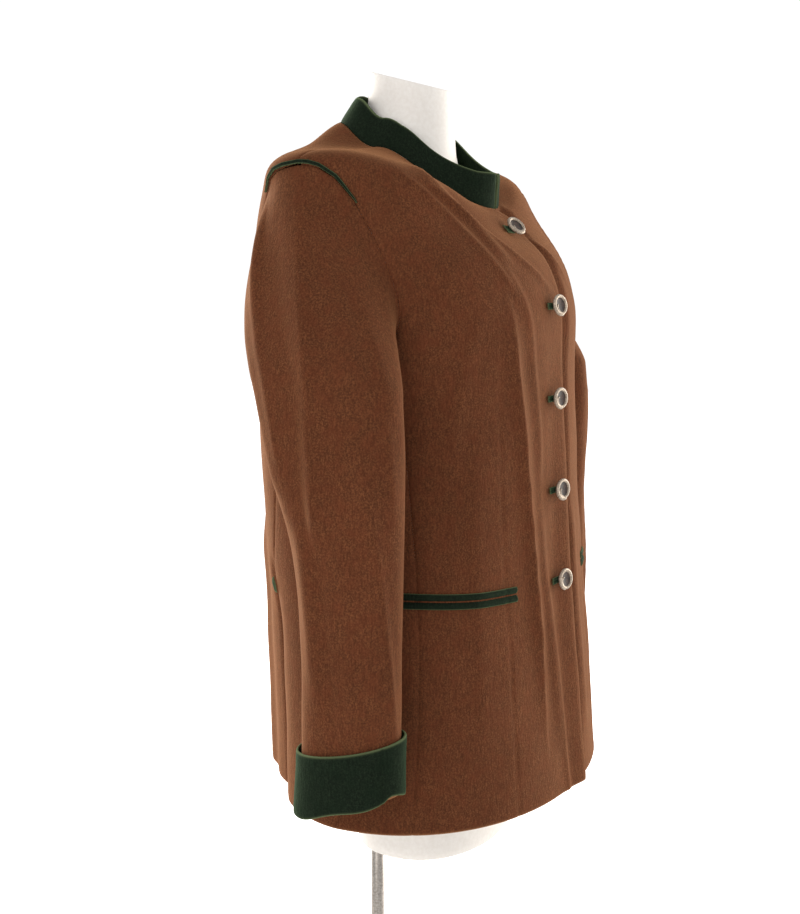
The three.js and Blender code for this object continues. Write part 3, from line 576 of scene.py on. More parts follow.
def shell(
    name: str,
    points: Array,
    normals: Array,
    wall: float,
    edges: tuple[Edge, Edge, Edge, Edge],
    crown: float = 0.0,
) -> bpy.types.Object:
    """Closed cloth shell: an outer grid, an inner one a wall below it, and rims between.

    Args:
        name: The object's name.
        points: Outer face, rows by columns.
        normals: Outward unit normals there.
        wall: Thickness.
        edges: Finish of the first row, last row, first column and last column.
        crown: Extra rise of a narrow strip's middle, over its rows.

    Returns:
        The object.
    """
    rows, cols = points.shape[:2]
    down = along_lengths(points, 0)
    over = along_lengths(points, 1)
    distances = [down[0], down[1], over[0], over[1]]
    height = sum(roll(d, e) for d, e in zip(distances, edges))
    across = np.linspace(-1, 1, rows)[:, None]
    outer = points + normals * (height + crown * (1 - across**2))[..., None]
    inner = points - normals * wall
    flat = np.concatenate([outer.reshape(-1, 3), inner.reshape(-1, 3)])
    # Painted highlight: pale colour along the borders stands in for rim light on the cloth's edges.
    highlighted = [e.painted_highlight * np.exp(-((d / e.highlight_width) ** 2)) for d, e in zip(distances, edges)]
    edge = np.tile(np.maximum.reduce(highlighted).ravel(), 2)
    grid = np.arange(rows * cols).reshape(rows, cols)
    ring = np.concatenate([grid[0, :-1], grid[:-1, -1], grid[-1, :0:-1], grid[:0:-1, 0]])
    after = np.roll(ring, -1)
    rim = np.stack([ring, ring + rows * cols, after + rows * cols, after], 1)
    faces = np.concatenate(
        [strip_faces(rows, cols, 0), strip_faces(rows, cols, rows * cols)[:, ::-1], rim]
    )
    return make_mesh(name, flat, faces, edge)


def ring_solid(name: str, rings: Array) -> bpy.types.Object:
    """Closed solid through rings of points, with a fan at each end.

    Args:
        name: The object's name.
        rings: Rings by points round them.

    Returns:
        The object.
    """
    rows, cols = rings.shape[:2]
    flat = np.concatenate([rings.reshape(-1, 3), rings[[0, -1]].mean(axis=1)])
    j = np.arange(cols)
    k = (j + 1) % cols
    low, high = rows * cols, rows * cols + 1
    last = (rows - 1) * cols
    bottom = np.stack([k, j, np.full(cols, low), np.full(cols, low)], 1)
    top = np.stack([last + j, last + k, np.full(cols, high), np.full(cols, high)], 1)
    return make_mesh(name, flat, np.concatenate([strip_faces(rows, cols, 0, True), bottom, top]))


def lathe(profile: Array | list[tuple[float, float]], segments: int) -> Array:
    """Rings of a profile of radius and height turned round the z axis.

    Args:
        profile: Radius and height of each ring.
        segments: Points in a ring.

    Returns:
        Rings by points.
    """
    turn = np.linspace(0, 2 * np.pi, segments, endpoint=False)[None, :]
    radius, height = np.array(profile, float).T
    return stack(radius[:, None] * np.cos(turn), radius[:, None] * np.sin(turn), height[:, None] + 0 * turn)


def grid_normals(points: Array) -> Array:
    """Unit normals of a grid, rows running down and columns running round."""
    return unit(np.cross(np.gradient(points, axis=0), np.gradient(points, axis=1)))


# ------------------------------------------------------------------ finishes
class Nodes:
    """Short way to add and join a tree's nodes."""

    def __init__(self, tree: bpy.types.NodeTree) -> None:
        """Keeps the tree."""
        self.tree = tree

    def add(self, kind: str, **inputs: object) -> bpy.types.Node:
        """Adds a node, sets its inputs by name and its properties by lower-case name.

        Args:
            kind: The node's type, without its prefix.
            **inputs: Values or output sockets; underscores stand for spaces.

        Returns:
            The node.
        """
        node = self.tree.nodes.new(kind)
        for key, value in inputs.items():
            if hasattr(node, key) and key.islower():
                setattr(node, key, value)
                continue
            socket = next(s for s in node.inputs if s.name == key.replace("_", " ") and s.enabled)
            if isinstance(value, bpy.types.NodeSocket):
                self.tree.links.new(value, socket)
            else:
                socket.default_value = value
        return node

    def mix(self, factor: object, a: object, b: object, blend: str = "MIX") -> bpy.types.NodeSocket:
        """Colour mix of a and b.

        Args:
            factor: Number or socket.
            a: First colour or socket.
            b: Second colour or socket.
            blend: How they mix.

        Returns:
            The mixed colour's socket.
        """
        node = self.tree.nodes.new("ShaderNodeMix")
        node.data_type = "RGBA"
        node.blend_type = blend
        for index, value in ((0, factor), (6, a), (7, b)):
            if isinstance(value, bpy.types.NodeSocket):
                self.tree.links.new(value, node.inputs[index])
            else:
                node.inputs[index].default_value = value
        return node.outputs[2]

    def spread(
        self, socket: bpy.types.NodeSocket, low: float, high: float, to: tuple[float, float] = (0.0, 1.0)
    ) -> bpy.types.NodeSocket:
        """Maps low to high onto a range, clamped.

        Args:
            socket: The value.
            low: Value that gives the range's start.
            high: Value that gives its end.
            to: The range.

        Returns:
            The mapped value's socket.
        """
        node = self.add("ShaderNodeMapRange", Value=socket, From_Min=low, From_Max=high)
        node.inputs["To Min"].default_value = to[0]
        node.inputs["To Max"].default_value = to[1]
        return node.outputs[0]

    def maths(self, operation: str, a: object, b: object) -> bpy.types.NodeSocket:
        """One sum of two values.

        Args:
            operation: Its name, such as MULTIPLY.
            a: Number or socket.
            b: Number or socket.

        Returns:
            The result's socket.
        """
        node = self.tree.nodes.new("ShaderNodeMath")
        node.operation = operation
        for index, value in enumerate((a, b)):
            if isinstance(value, bpy.types.NodeSocket):
                self.tree.links.new(value, node.inputs[index])
            else:
                node.inputs[index].default_value = value
        return node.outputs[0]


def milled_wool() -> bpy.types.NodeTree:
    """Node group of milled wool: flecks of fibre, a slanting nap and slow mottling.

    Returns:
        The group, with Ground, Fleck and Mottle colours in, and Color and Height out.
    """
    name = "milled_wool"
    if name in bpy.data.node_groups:
        return bpy.data.node_groups[name]
    group = bpy.data.node_groups.new(name, "ShaderNodeTree")
    for label in ("Ground", "Fleck", "Mottle"):
        group.interface.new_socket(label, in_out="INPUT", socket_type="NodeSocketColor")
    group.interface.new_socket("Color", in_out="OUTPUT", socket_type="NodeSocketColor")
    group.interface.new_socket("Height", in_out="OUTPUT", socket_type="NodeSocketFloat")
    n = Nodes(group)
    start = group.nodes.new("NodeGroupInput")
    place = n.add("ShaderNodeTexCoord").outputs["Object"]
    fibre = n.add("ShaderNodeTexNoise", Vector=place, Scale=620.0, Detail=3.0, Roughness=0.65)
    slant = n.add("ShaderNodeMapping", Vector=place)
    slant.inputs["Rotation"].default_value = (0.0, math.radians(38), math.radians(20))
    slant.inputs["Scale"].default_value = (1.0, 1.0, 0.22)
    nap = n.add("ShaderNodeTexNoise", Vector=slant.outputs[0], Scale=520.0, Detail=2.0)
    slow = n.add("ShaderNodeTexNoise", Vector=place, Scale=70.0, Detail=3.0, Roughness=0.6)
    broad = n.add("ShaderNodeTexNoise", Vector=place, Scale=16.0, Detail=2.0)
    fleck = n.spread(fibre.outputs["Fac"], 0.42, 0.66)
    colour = n.mix(n.maths("MULTIPLY", fleck, 0.55), start.outputs["Ground"], start.outputs["Fleck"])
    mottle = n.spread(slow.outputs["Fac"], 0.4, 0.68, (0.0, 0.55))
    colour = n.mix(mottle, colour, start.outputs["Mottle"])
    shade = n.spread(nap.outputs["Fac"], 0.3, 0.7, (0.82, 1.16))
    wide = n.spread(broad.outputs["Fac"], 0.3, 0.7, (0.93, 1.07))
    both = n.maths("MULTIPLY", shade, wide)
    grey = n.add("ShaderNodeCombineColor", Red=both, Green=both, Blue=both)
    colour = n.mix(1.0, colour, grey.outputs[0], "MULTIPLY")
    height = n.maths("ADD", n.maths("MULTIPLY", fibre.outputs["Fac"], 0.6), nap.outputs["Fac"])
    end = group.nodes.new("NodeGroupOutput")
    group.links.new(colour, end.inputs["Color"])
    group.links.new(height, end.inputs["Height"])
    return group


def new_material(name: str) -> tuple[bpy.types.Material, Nodes, bpy.types.Node]:
    """Empty material with its shader.

    Args:
        name: The material's name.

    Returns:
        The material, its nodes and its Principled shader.
    """
    material = bpy.data.materials.new(name)
    material.use_nodes = True
    nodes = Nodes(material.node_tree)
    return material, nodes, material.node_tree.nodes["Principled BSDF"]


def rgba(colour: Colour) -> tuple[float, float, float, float]:
    """A colour given in sRGB, 0 to 255, as linear numbers with alpha."""
    c = np.array(colour, float) / 255
    linear = np.where(c <= 0.04045, c / 12.92, ((c + 0.055) / 1.055) ** 2.4)
    return (*linear.tolist(), 1.0)


@dataclass(frozen=True)
class WoolFinish:
    """Milled wool cloth.

    Attributes:
        name: Material's name.
        slot: Material slot of the record.
        ground: Colour of most fibres, sRGB.
        fleck: Colour of the light fibres.
        mottle: Colour of the slow patches.
        edge: Colour of the painted highlight along the borders, standing in for rim light on the edges.
        edge_highlight_amount: How much of it shows at a border.
        sheen: Strength of the nap's sheen.
        sheen_tint: Its colour.
    """

    name: str
    slot: str
    ground: Colour
    fleck: Colour
    mottle: Colour
    edge: Colour
    edge_highlight_amount: float
    sheen: float
    sheen_tint: Colour

    def material(self) -> bpy.types.Material:
        """The material, built once."""
        if self.name in bpy.data.materials:
            return bpy.data.materials[self.name]
        material, n, shader = new_material(self.name)
        wool = n.tree.nodes.new("ShaderNodeGroup")
        wool.node_tree = milled_wool()
        for label, colour in (("Ground", self.ground), ("Fleck", self.fleck), ("Mottle", self.mottle)):
            wool.inputs[label].default_value = rgba(colour)
        # Painted highlight: towards each border the colour turns to the pale edge colour, standing in for rim
        # light.
        border = n.add("ShaderNodeAttribute", attribute_name="edge").outputs["Fac"]
        amount = n.maths("MULTIPLY", border, self.edge_highlight_amount)
        colour = n.mix(amount, wool.outputs["Color"], rgba(self.edge))
        n.tree.links.new(colour, shader.inputs["Base Color"])
        bump = n.add("ShaderNodeBump", Height=wool.outputs["Height"], Strength=0.45, Distance=0.0008)
        n.tree.links.new(bump.outputs[0], shader.inputs["Normal"])
        shader.inputs["Roughness"].default_value = 0.92
        shader.inputs["Specular IOR Level"].default_value = 0.06
        shader.inputs["Sheen Weight"].default_value = self.sheen
        shader.inputs["Sheen Roughness"].default_value = 0.42
        shader.inputs["Sheen Tint"].default_value = rgba(self.sheen_tint)
        return material


@dataclass(frozen=True)
class HardFinish:
    """Metal, horn or moulded surface.

    Attributes:
        name: Material's name.
        slot: Material slot of the record.
        light: Colour of its high or clean places, sRGB.
        dark: Colour of its low or worn places.
        scale: Size of the grain, in turns a metre.
        metallic: 1 for metal.
        roughness: Lowest and highest roughness over the grain.
        bump: Strength of the grain's relief.
        coat: Strength of a clear coat.
    """

    name: str
    slot: str
    light: Colour
    dark: Colour
    scale: float
    metallic: float
    roughness: tuple[float, float]
    bump: float = 0.1
    coat: float = 0.0

    def material(self) -> bpy.types.Material:
        """The material, built once."""
        if self.name in bpy.data.materials:
            return bpy.data.materials[self.name]
        material, n, shader = new_material(self.name)
        place = n.add("ShaderNodeTexCoord").outputs["Object"]
        grain = n.add("ShaderNodeTexNoise", Vector=place, Scale=self.scale, Detail=4.0).outputs["Fac"]
        spread = n.spread(grain, 0.35, 0.65)
        colour = n.mix(spread, rgba(self.dark), rgba(self.light))
        n.tree.links.new(colour, shader.inputs["Base Color"])
        n.tree.links.new(n.spread(grain, 0.3, 0.7, self.roughness), shader.inputs["Roughness"])
        bump = n.add("ShaderNodeBump", Height=grain, Strength=self.bump, Distance=0.0003)
        n.tree.links.new(bump.outputs[0], shader.inputs["Normal"])
        shader.inputs["Metallic"].default_value = self.metallic
        shader.inputs["Coat Weight"].default_value = self.coat
        return material


# In both wools the fourth colour and the number after it are a painted highlight along the borders, standing
# in for rim light.
LODEN = WoolFinish(
    "brown_loden", "loden",
    (78, 44, 28), (126, 78, 49), (92, 48, 30), (176, 130, 92), 0.6, 0.26, (255, 185, 125),
)
GREEN = WoolFinish(
    "green_loden", "green_trim",
    (18, 25, 18), (38, 50, 36), (19, 30, 20), (112, 124, 88), 0.6, 0.14, (150, 205, 140),
)
SILVER = HardFinish("aged_silver", "button", (196, 182, 164), (132, 116, 102), 900.0, 0.5, (0.36, 0.52), 0.25)
HORN = HardFinish("dark_horn", "button", (74, 54, 46), (30, 22, 19), 260.0, 0.0, (0.42, 0.55), 0.1)
FORM_SHELL = HardFinish("form_white", "form", (238, 234, 229), (232, 227, 221), 240.0, 0.0, (0.5, 0.62), 0.05)
STEEL = HardFinish("satin_steel", "steel", (176, 170, 164), (140, 134, 128), 420.0, 0.9, (0.3, 0.42), 0.08)


@dataclass(frozen=True)
class Cut:
    """Flat cut of a cloth piece, and how it is held.

    Attributes:
        width: Widest, in metres.
        length: Longest, in metres.
        area: Area in square metres.
        held: How it is held.
        rests_on: What it lies on.
    """

    width: float
    length: float
    area: float
    held: str
    rests_on: tuple[str, ...]


def dress(obj: bpy.types.Object, node: str, finish: WoolFinish | HardFinish) -> None:
    """Gives a piece its finish, parents it to the root and hides the model node that it replaces.

    Args:
        obj: The piece.
        node: Model node that it replaces.
        finish: Its finish.
    """
    obj.data.materials.append(finish.material())
    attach(obj, "root")
    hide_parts(node)
    log.info("%s: %d faces", obj.name, len(obj.data.polygons))


def sew(
    node: str,
    points: Array,
    normals: Array,
    wall: float,
    edges: tuple[Edge, Edge, Edge, Edge],
    finish: WoolFinish,
    crown: float = 0.0,
) -> None:
    """Builds a cloth piece as a shell and dresses it.

    Args:
        node: Model node that it replaces.
        points: Outer face, rows by columns.
        normals: Outward unit normals there.
        wall: Thickness.
        edges: Finish of the first row, last row, first column and last column.
        finish: Its cloth.
        crown: Extra rise of a narrow strip's middle, over its rows.
    """
    dress(shell(f"{node}_cloth", points, normals, wall, edges, crown), node, finish)


# ------------------------------------------------------------------ body panels
def flare(angle: Array, level: Array) -> Array:
    """How far the right front's edge stands forward, easing off round the body."""
    edge = -WornBody.across_front(FRONT_EDGE.keyed("past", level), level)
    ease = 1 - np.clip((angle - edge) / 14, 0, 1) ** 2 * (3 - 2 * np.clip((angle - edge) / 14, 0, 1))
    return FRONT_EDGE.keyed("flare", level) * ease * 0.8


@dataclass
class Fronts:
    """The two fronts: the wearer's right laps over the left, which runs under it.

    Attributes:
        step: Distance between grid lines.
        lap_drop: How far the under front runs below.
        lap_under: Its reach past the centre line.
        cut: Flat cut of each.
    """

    step: float = 3.4
    lap_drop: float = 5.0
    lap_under: float = 24.0
    cut: Cut = Cut(0.29, 0.72, 0.169, "hung", ("dress_form",))

    def build(self) -> None:
        """Builds and dresses both."""
        for side in Side:
            self._front(side)

    def _front(self, side: Side) -> None:
        """One front, between its front edge and the side-front seam.

        Args:
            side: Side of the wearer.
        """
        level = rows_between(0, NECK - 0.01, 35, self.step)[:, None]
        past = FRONT_EDGE.keyed("past", level)
        if side is Side.LEFT:
            past = np.minimum(self.lap_under, past)
        near = -WornBody.across_front(past, level)
        far = side_front(level)
        near = near + WornBody.seam_angle(near, level)
        far = far - WornBody.seam_angle(far, level)
        angle = side.value * lerp(near, far, spaced(275, self.step)[None, :])
        level = np.broadcast_to(level, angle.shape)
        if side is Side.RIGHT:
            lift = flare(angle, level)
        else:
            lift = -self.lap_drop * (1 - smoothstep(level, 10.5, NECK)) * smoothstep(angle, -19, -12.5)
        points = WornBody.surface(angle, level, lift)
        edges = (Edge.TURNED, Edge.SEAM, Edge.TURNED, Edge.SEAM)
        sew(f"front_{side.word}", points, WornBody.normal(angle, level), CLOTH, edges, LODEN)


@dataclass
class SidesAndBacks:
    """Side panels and the two halves of the back, with a vent in each side-back seam.

    Attributes:
        step: Distance between grid lines.
        vent_drop: How far the back's underlay runs below the side panel.
        vent_under: Degrees that it runs under it.
        side_cut: Flat cut of a side panel.
        back_cut: Flat cut of half the back.
    """

    step: float = 3.6
    vent_drop: float = 8.5
    vent_under: float = 8.0
    side_cut: Cut = Cut(0.21, 0.53, 0.077, "hung", ("dress_form",))
    back_cut: Cut = Cut(0.26, 0.73, 0.148, "hung", ("dress_form",))

    def build(self) -> None:
        """Builds and dresses the four panels."""
        for side in Side:
            self._side(side)
            self._back(side)

    def _side(self, side: Side) -> None:
        """Panel under the arm; its top row dips as the armhole's bottom.

        Args:
            side: Side of the wearer.
        """
        level = rows_between(0, UNDERARM, 92, self.step)[:, None]
        near = SIDE_SEAMS.keyed("front", level) + WornBody.seam_angle(70, level)
        far = SIDE_SEAMS.keyed("back", level) - WornBody.seam_angle(110, level)
        across = spaced(165, self.step)[None, :]
        angle = side.value * lerp(near, far, across)
        dipped = level - smoothstep(level, 4, UNDERARM) * UNDERARM_DIP * np.sin(np.pi * across)
        points = WornBody.surface(angle, dipped)
        edges = (Edge.TURNED, Edge.SEAM, Edge.SEAM, Edge.SEAM)
        sew(f"side_{side.word}", points, WornBody.normal(angle, dipped), CLOTH, edges, LODEN)

    def _back(self, side: Side) -> None:
        """Half the back, from the vent's underlay to the centre-back seam.

        Args:
            side: Side of the wearer.
        """
        level = rows_between(0, NECK - 0.01, 145, self.step)[:, None]
        seam = side_back(level)
        near = seam - self.vent_under * np.clip((VENT_LEVEL - level) / 0.5, 0, 1)
        near = near + WornBody.seam_angle(near, level)
        turned = lerp(near, 180 - WornBody.seam_angle(180.0, level), spaced(215, self.step)[None, :])
        open_ = 1 - smoothstep(level, VENT_LEVEL, VENT_LEVEL + 0.5)
        lift = -self.vent_drop * open_ * (1 - smoothstep(turned - seam, 1, 7))
        angle = side.value * turned
        level = np.broadcast_to(level, angle.shape)
        points = WornBody.surface(angle, level, lift)
        edges = (Edge.TURNED, Edge.SEAM, Edge.SEAM, Edge.SEAM)
        sew(f"back_{side.word}", points, WornBody.normal(angle, level), CLOTH, edges, LODEN)


# ------------------------------------------------------------------ sleeves and cuffs
class WornArm:
    """The wearer's right sleeve as a surface of place round the armhole and way down.

    Place i runs 0 to 22 from the shoulder tip down the front, under the arm and up the back.
    The way down is 0 at the armhole and 1 at the bicep in the cap, and a ring number below.
    """

    PLACES = 22
    LEVELS = np.array([8.8, 8.45, 8, 7.5, 7, 6.5, 6, 5.6, 5.25])

    @classmethod
    def place(cls, i: Array) -> tuple[Array, Array]:
        """Angle and level on the body of armhole places.

        Args:
            i: Places, any number of turns.

        Returns:
            Angles and levels.
        """
        i = np.mod(np.asarray(i, float), cls.PLACES)
        down, up = (
            np.where(k < 1, SHOULDER - 0.35 * np.minimum(k, 1) ** 1.6, np.interp(k, np.arange(9), cls.LEVELS))
            for k in (i, cls.PLACES - i)
        )
        f = np.clip((i - 8) / 6, 0, 1)
        level = np.where(i < 8, down, np.where(i > 14, up, UNDERARM - UNDERARM_DIP * np.sin(np.pi * f)))
        under = lerp(74.0, 107.0, f)
        rear = np.where(i > 14, ARMHOLE.keyed("back", up), under)
        angle = np.where(i < 8, ARMHOLE.keyed("front", down), rear)
        return angle, level

    @classmethod
    def away(cls, i: Array) -> Array:
        """Direction in the cloth, across the armhole seam and away from the body."""
        ahead, behind = cls.place(i + 1), cls.place(i - 1)
        along = WornBody.form(*ahead) - WornBody.form(*behind)
        return unit(np.cross(along, WornBody.normal(*cls.place(i))))

    @classmethod
    def turn(cls, i: Array) -> Array:
        """Angle round the sleeve of armhole places: 90 at the head, 0 at the front."""
        whole = WornBody.form(*cls.place(np.arange(cls.PLACES + 1)))
        lengths = np.concatenate([[0], np.cumsum(np.linalg.norm(np.diff(whole, axis=0), axis=1))])
        angles = 90 - 360 * lengths / lengths[-1]
        turns = np.floor(np.asarray(i, float) / cls.PLACES)
        return through(angles, np.mod(i, cls.PLACES)) - 360 * turns

    @staticmethod
    def ring(angle: Array, ring: Array) -> Array:
        """Ellipse of the arm at a ring, tilted by its rise.

        Args:
            angle: Degrees round the arm.
            ring: Ring number.

        Returns:
            Points.
        """
        cos, sin = np.cos(np.radians(angle)), np.sin(np.radians(angle))
        depth = ARM.at("depth", ring) * cos
        lift = depth * np.tan(np.radians(ARM.at("rise", ring)))
        x = ARM.at("x", ring) - ARM.at("across", ring) * sin
        return stack(x, ARM.at("y", ring) - depth, ARM.at("z", ring) + lift)


@dataclass
class Sleeves:
    """Two-piece sleeves, whose heads curve out of the armholes into hanging arms.

    Attributes:
        step: Distance between grid lines.
        cap_out: How strongly the head leaves the shoulder.
        cap_down: How strongly it turns down into the arm.
        cap_rear: How far its rear stands out.
        seams: Armhole places of the front and back sleeve seams.
        left_shift: How much further back the left sleeve hangs.
        upper_cut: Flat cut of the upper piece.
        under_cut: Flat cut of the under piece.
    """

    step: float = 3.2
    cap_out: float = 140.0
    cap_down: float = 165.0
    cap_rear: float = 21.0
    seams: tuple[int, int] = (7, 16)
    left_shift: float = 12.0
    upper_cut: Cut = Cut(0.29, 0.64, 0.1165, "hung", ("dress_form",))
    under_cut: Cut = Cut(0.13, 0.47, 0.048, "hung", ("dress_form",))

    def build(self) -> None:
        """Builds and dresses the four pieces."""
        front, back = self.seams
        for name, start, end, cut in (
            ("upper", back, front + WornArm.PLACES, self.upper_cut),
            ("under", front, back, self.under_cut),
        ):
            points, normals = self._grid(start, end, 250 if name == "upper" else 120)
            edges = (Edge.SEAM, Edge.PLAIN, Edge.SEAM, Edge.SEAM)
            for side in Side:
                p, m = points, normals
                if side is Side.LEFT:
                    p, m = to_left(points, self.left_shift), normals * np.array([-1, 1, 1])
                p = p + m * ripple(p, 0.5)[..., None]
                sew(f"sleeve_{side.word}_{name}", p, m, CLOTH, edges, LODEN)

    def _cap(self, i: Array, t: Array) -> Array:
        """Hermite curve from the armhole to the bicep, with a rounded bulge at the rear.

        Args:
            i: Armhole places.
            t: Way down the cap, 0 to 1.

        Returns:
            Points.
        """
        turn = WornArm.turn(i)
        head = np.maximum(0, np.sin(np.radians(turn)))
        rear = np.maximum(0, -np.cos(np.radians(turn)))
        away = WornArm.away(i)
        room = SEAM_GAP + 0.9 * head**4 + 1.1 * rear
        start = WornBody.surface(*WornArm.place(i), fine=False) + away * room[..., None]
        end = WornArm.ring(turn, np.zeros_like(turn))
        leave = away * lerp(30, self.cap_out, head)[..., None]
        arrive = unit(WornArm.ring(turn, np.full_like(turn, 0.2)) - end)
        arrive = arrive * lerp(30, self.cap_down, head)[..., None]
        t2, t3 = (t * t)[..., None], (t * t * t)[..., None]
        bulge = self.cap_rear * np.sqrt(rear) * np.sin(np.pi * t**0.85) ** 2
        curve = start * (2 * t3 - 3 * t2 + 1) + leave * (t3 - 2 * t2 + t[..., None])
        curve = curve + end * (3 * t2 - 2 * t3) + arrive * (t3 - t2)
        return curve + stack(0 * bulge, bulge, 0 * bulge)

    def _grid(self, start: float, end: float, width: float) -> tuple[Array, Array]:
        """Outer points and normals of a sleeve piece of the wearer's right.

        Args:
            start: Armhole place of its first seam.
            end: Armhole place of its last seam.
            width: Its width, about.

        Returns:
            Points and normals, rows running down.
        """
        i = lerp(start, end, spaced(width, self.step))[None, :]
        cap = np.concatenate([[0, 0.003, 0.008, 0.015, 0.028], np.linspace(0.045, 1, int(165 / self.step))])
        rings = np.linspace(0, 5, int(370 / self.step))[1:]
        upper = self._cap(*np.broadcast_arrays(i, cap[:, None]))
        turn = WornArm.turn(i)
        lower = WornArm.ring(*np.broadcast_arrays(turn, rings[:, None]))
        points = np.concatenate([upper, lower])
        normals = grid_normals(points)
        blend = np.exp(-(np.concatenate([cap, rings + 1]) / 0.02) ** 2)[:, None, None]
        normals = unit(normals * (1 - 0.5 * blend) + WornBody.normal(*WornArm.place(i)) * 0.5 * blend)
        along = np.concatenate([cap * 0.9, 0.9 + rings])[:, None]
        round_ = np.mod(turn, 360)
        height = sum(c.rise(along, round_, 55) for c in (*ARM_FOLDS, *ARM_CREASES))
        points = points + normals * height[..., None]
        sideways = unit(np.gradient(points, axis=1))
        points[:, :1] += sideways[:, :1] * SEAM_GAP / 2
        points[:, -1:] -= sideways[:, -1:] * SEAM_GAP / 2
        return points, normals


def to_left(points: Array, shift: float) -> Array:
    """Points mirrored to the wearer's left, moved back as the left arm hangs.

    Args:
        points: Points of the wearer's right.
        shift: Move at the wrist, easing to none at the bicep.

    Returns:
        The moved points.
    """
    moved = points * np.array([-1, 1, 1])
    moved[..., 1] += shift * (1 - smoothstep(points[..., 2], 620, 780))
    return moved


@dataclass
class Cuffs:
    """Turned-up cuffs: bands round the sleeves' ends, each closed by an upright join.

    Attributes:
        top: Height of the upper edge.
        bottom: Height of the lower edge.
        stand_off: Outer face over the sleeve's.
        slit_angle: Angle round the arm of the join.
        slit: Half the gap there.
        hem_rise: Mean height of the lower edge over bottom.
        hem_tilt: Size of its once-round sine.
        hem_wave: Size of its five-times-round sine.
        hem_notch: Height of the soft notch beside the join.
        top_rise: Mean height of the upper edge over top.
        top_tilt: Size of its once-round sine.
        left_shift: As for the sleeves.
        cut: Flat cut, doubled at its lower edge.
    """

    top: float = 457.0
    bottom: float = 402.0
    stand_off: float = 5.0
    slit_angle: float = 34.0
    slit: float = 0.06
    hem_rise: float = 4.5
    hem_tilt: float = 4.0
    hem_wave: float = 1.3
    hem_notch: float = 3.5
    top_rise: float = 3.0
    top_tilt: float = 3.5
    left_shift: float = 12.0
    cut: Cut = Cut(0.33, 0.057, 0.0174, "folded", ("sleeve_right_upper", "sleeve_left_upper"))

    def build(self) -> None:
        """Builds and dresses both."""
        up = spaced(self.top - self.bottom, 3.0)[:, None]
        gap = np.degrees(self.slit / 50)
        angle = self.slit_angle - lerp(gap, 360 - gap, spaced(300, 3.4)[None, :])
        turned = np.radians(angle)
        hem = self.bottom + self.hem_rise - self.hem_tilt * np.sin(turned - 1.1)
        notch = smoothstep(-angle, -34, -22) * smoothstep(angle, -14, 30)
        hem = hem + self.hem_wave * np.sin(5 * turned) + self.hem_notch * notch
        z = lerp(hem, self.top + self.top_rise - self.top_tilt * np.sin(turned + 0.2), up)
        ring = 4 + (480 - z) / 70
        kept = np.minimum(ring, 4.9)
        across = WornArm.ring(angle + 0.5, kept) - WornArm.ring(angle - 0.5, kept)
        down = WornArm.ring(angle, kept + 0.05) - WornArm.ring(angle, kept - 0.05)
        normals = unit(np.cross(across, down))
        points = WornArm.ring(angle, ring) + normals * self.stand_off
        for side in Side:
            p, m = points, normals
            if side is Side.LEFT:
                p, m = to_left(points, self.left_shift), normals * np.array([-1, 1, 1])
            p = p + m * ripple(p, 0.35)[..., None]
            edges = (Edge.TURNED, Edge.TURNED, Edge.SEAM, Edge.SEAM)
            sew(f"cuff_{side.word}", p, m, CLOTH, edges, GREEN)


@dataclass
class Collar:
    """Stand collar that leans in over its height.

    It rises from just inside the neck seam; its height goes smoothly from that of the centre
    back, over the sides, to that of its two ends at the front.

    Attributes:
        front: Rise at its ends.
        back: Rise at the centre back.
        tuck: How far it reaches down inside the neck seam.
        lean: How far it leans in at the back.
        cut: Flat cut.
    """

    front: float = 36.0
    back: float = 24.0
    tuck: float = 1.4
    lean: float = 17.0
    cut: Cut = Cut(0.43, 0.042, 0.0165, "hung", ("front_right", "front_left", "back_right", "back_left"))

    def build(self) -> None:
        """Builds and dresses it: each point is its neck seam point, raised and leaned in."""
        t = spaced(34, 2.4)[:, None]
        angle = lerp(-0.8 + 1.6 * t, 357.4 - 1.2 * t, spaced(420, 3.0)[None, :])
        seam = WornBody.form(angle, np.full_like(angle, NECK))
        to_front = np.maximum(np.cos(np.radians(angle)), 0) ** 6
        lean = lerp(self.lean, -3.0, to_front) * t
        out = unit(stack(seam[..., 0], seam[..., 1] - 40, 0 * angle))
        cos = np.cos(np.radians(angle))
        beside = np.maximum(0.5 * smoothstep(cos, -0.9, -0.35), 0.8 * smoothstep(cos, -0.1, 0.6))
        rise = lerp(-self.tuck, lerp(self.back, self.front, np.maximum(to_front, beside)), t)
        points = seam - out * lean[..., None] + stack(0 * rise, 0 * rise, rise)
        points = points + out * ripple(points, 0.4)[..., None]
        sew("collar", points, out, CLOTH, (Edge.SEAM, Edge.TURNED, Edge.TURNED, Edge.TURNED), GREEN)


# ------------------------------------------------------------------ trims
# Edges of a narrow trim, the same all round.
PLAIN_ALL_ROUND = (Edge.PLAIN,) * 4
# Body levels of the buttons and their holes, from the lowest.
BUTTON_LEVELS = (2, 3.25, 4.58, 6.05, 8.1)


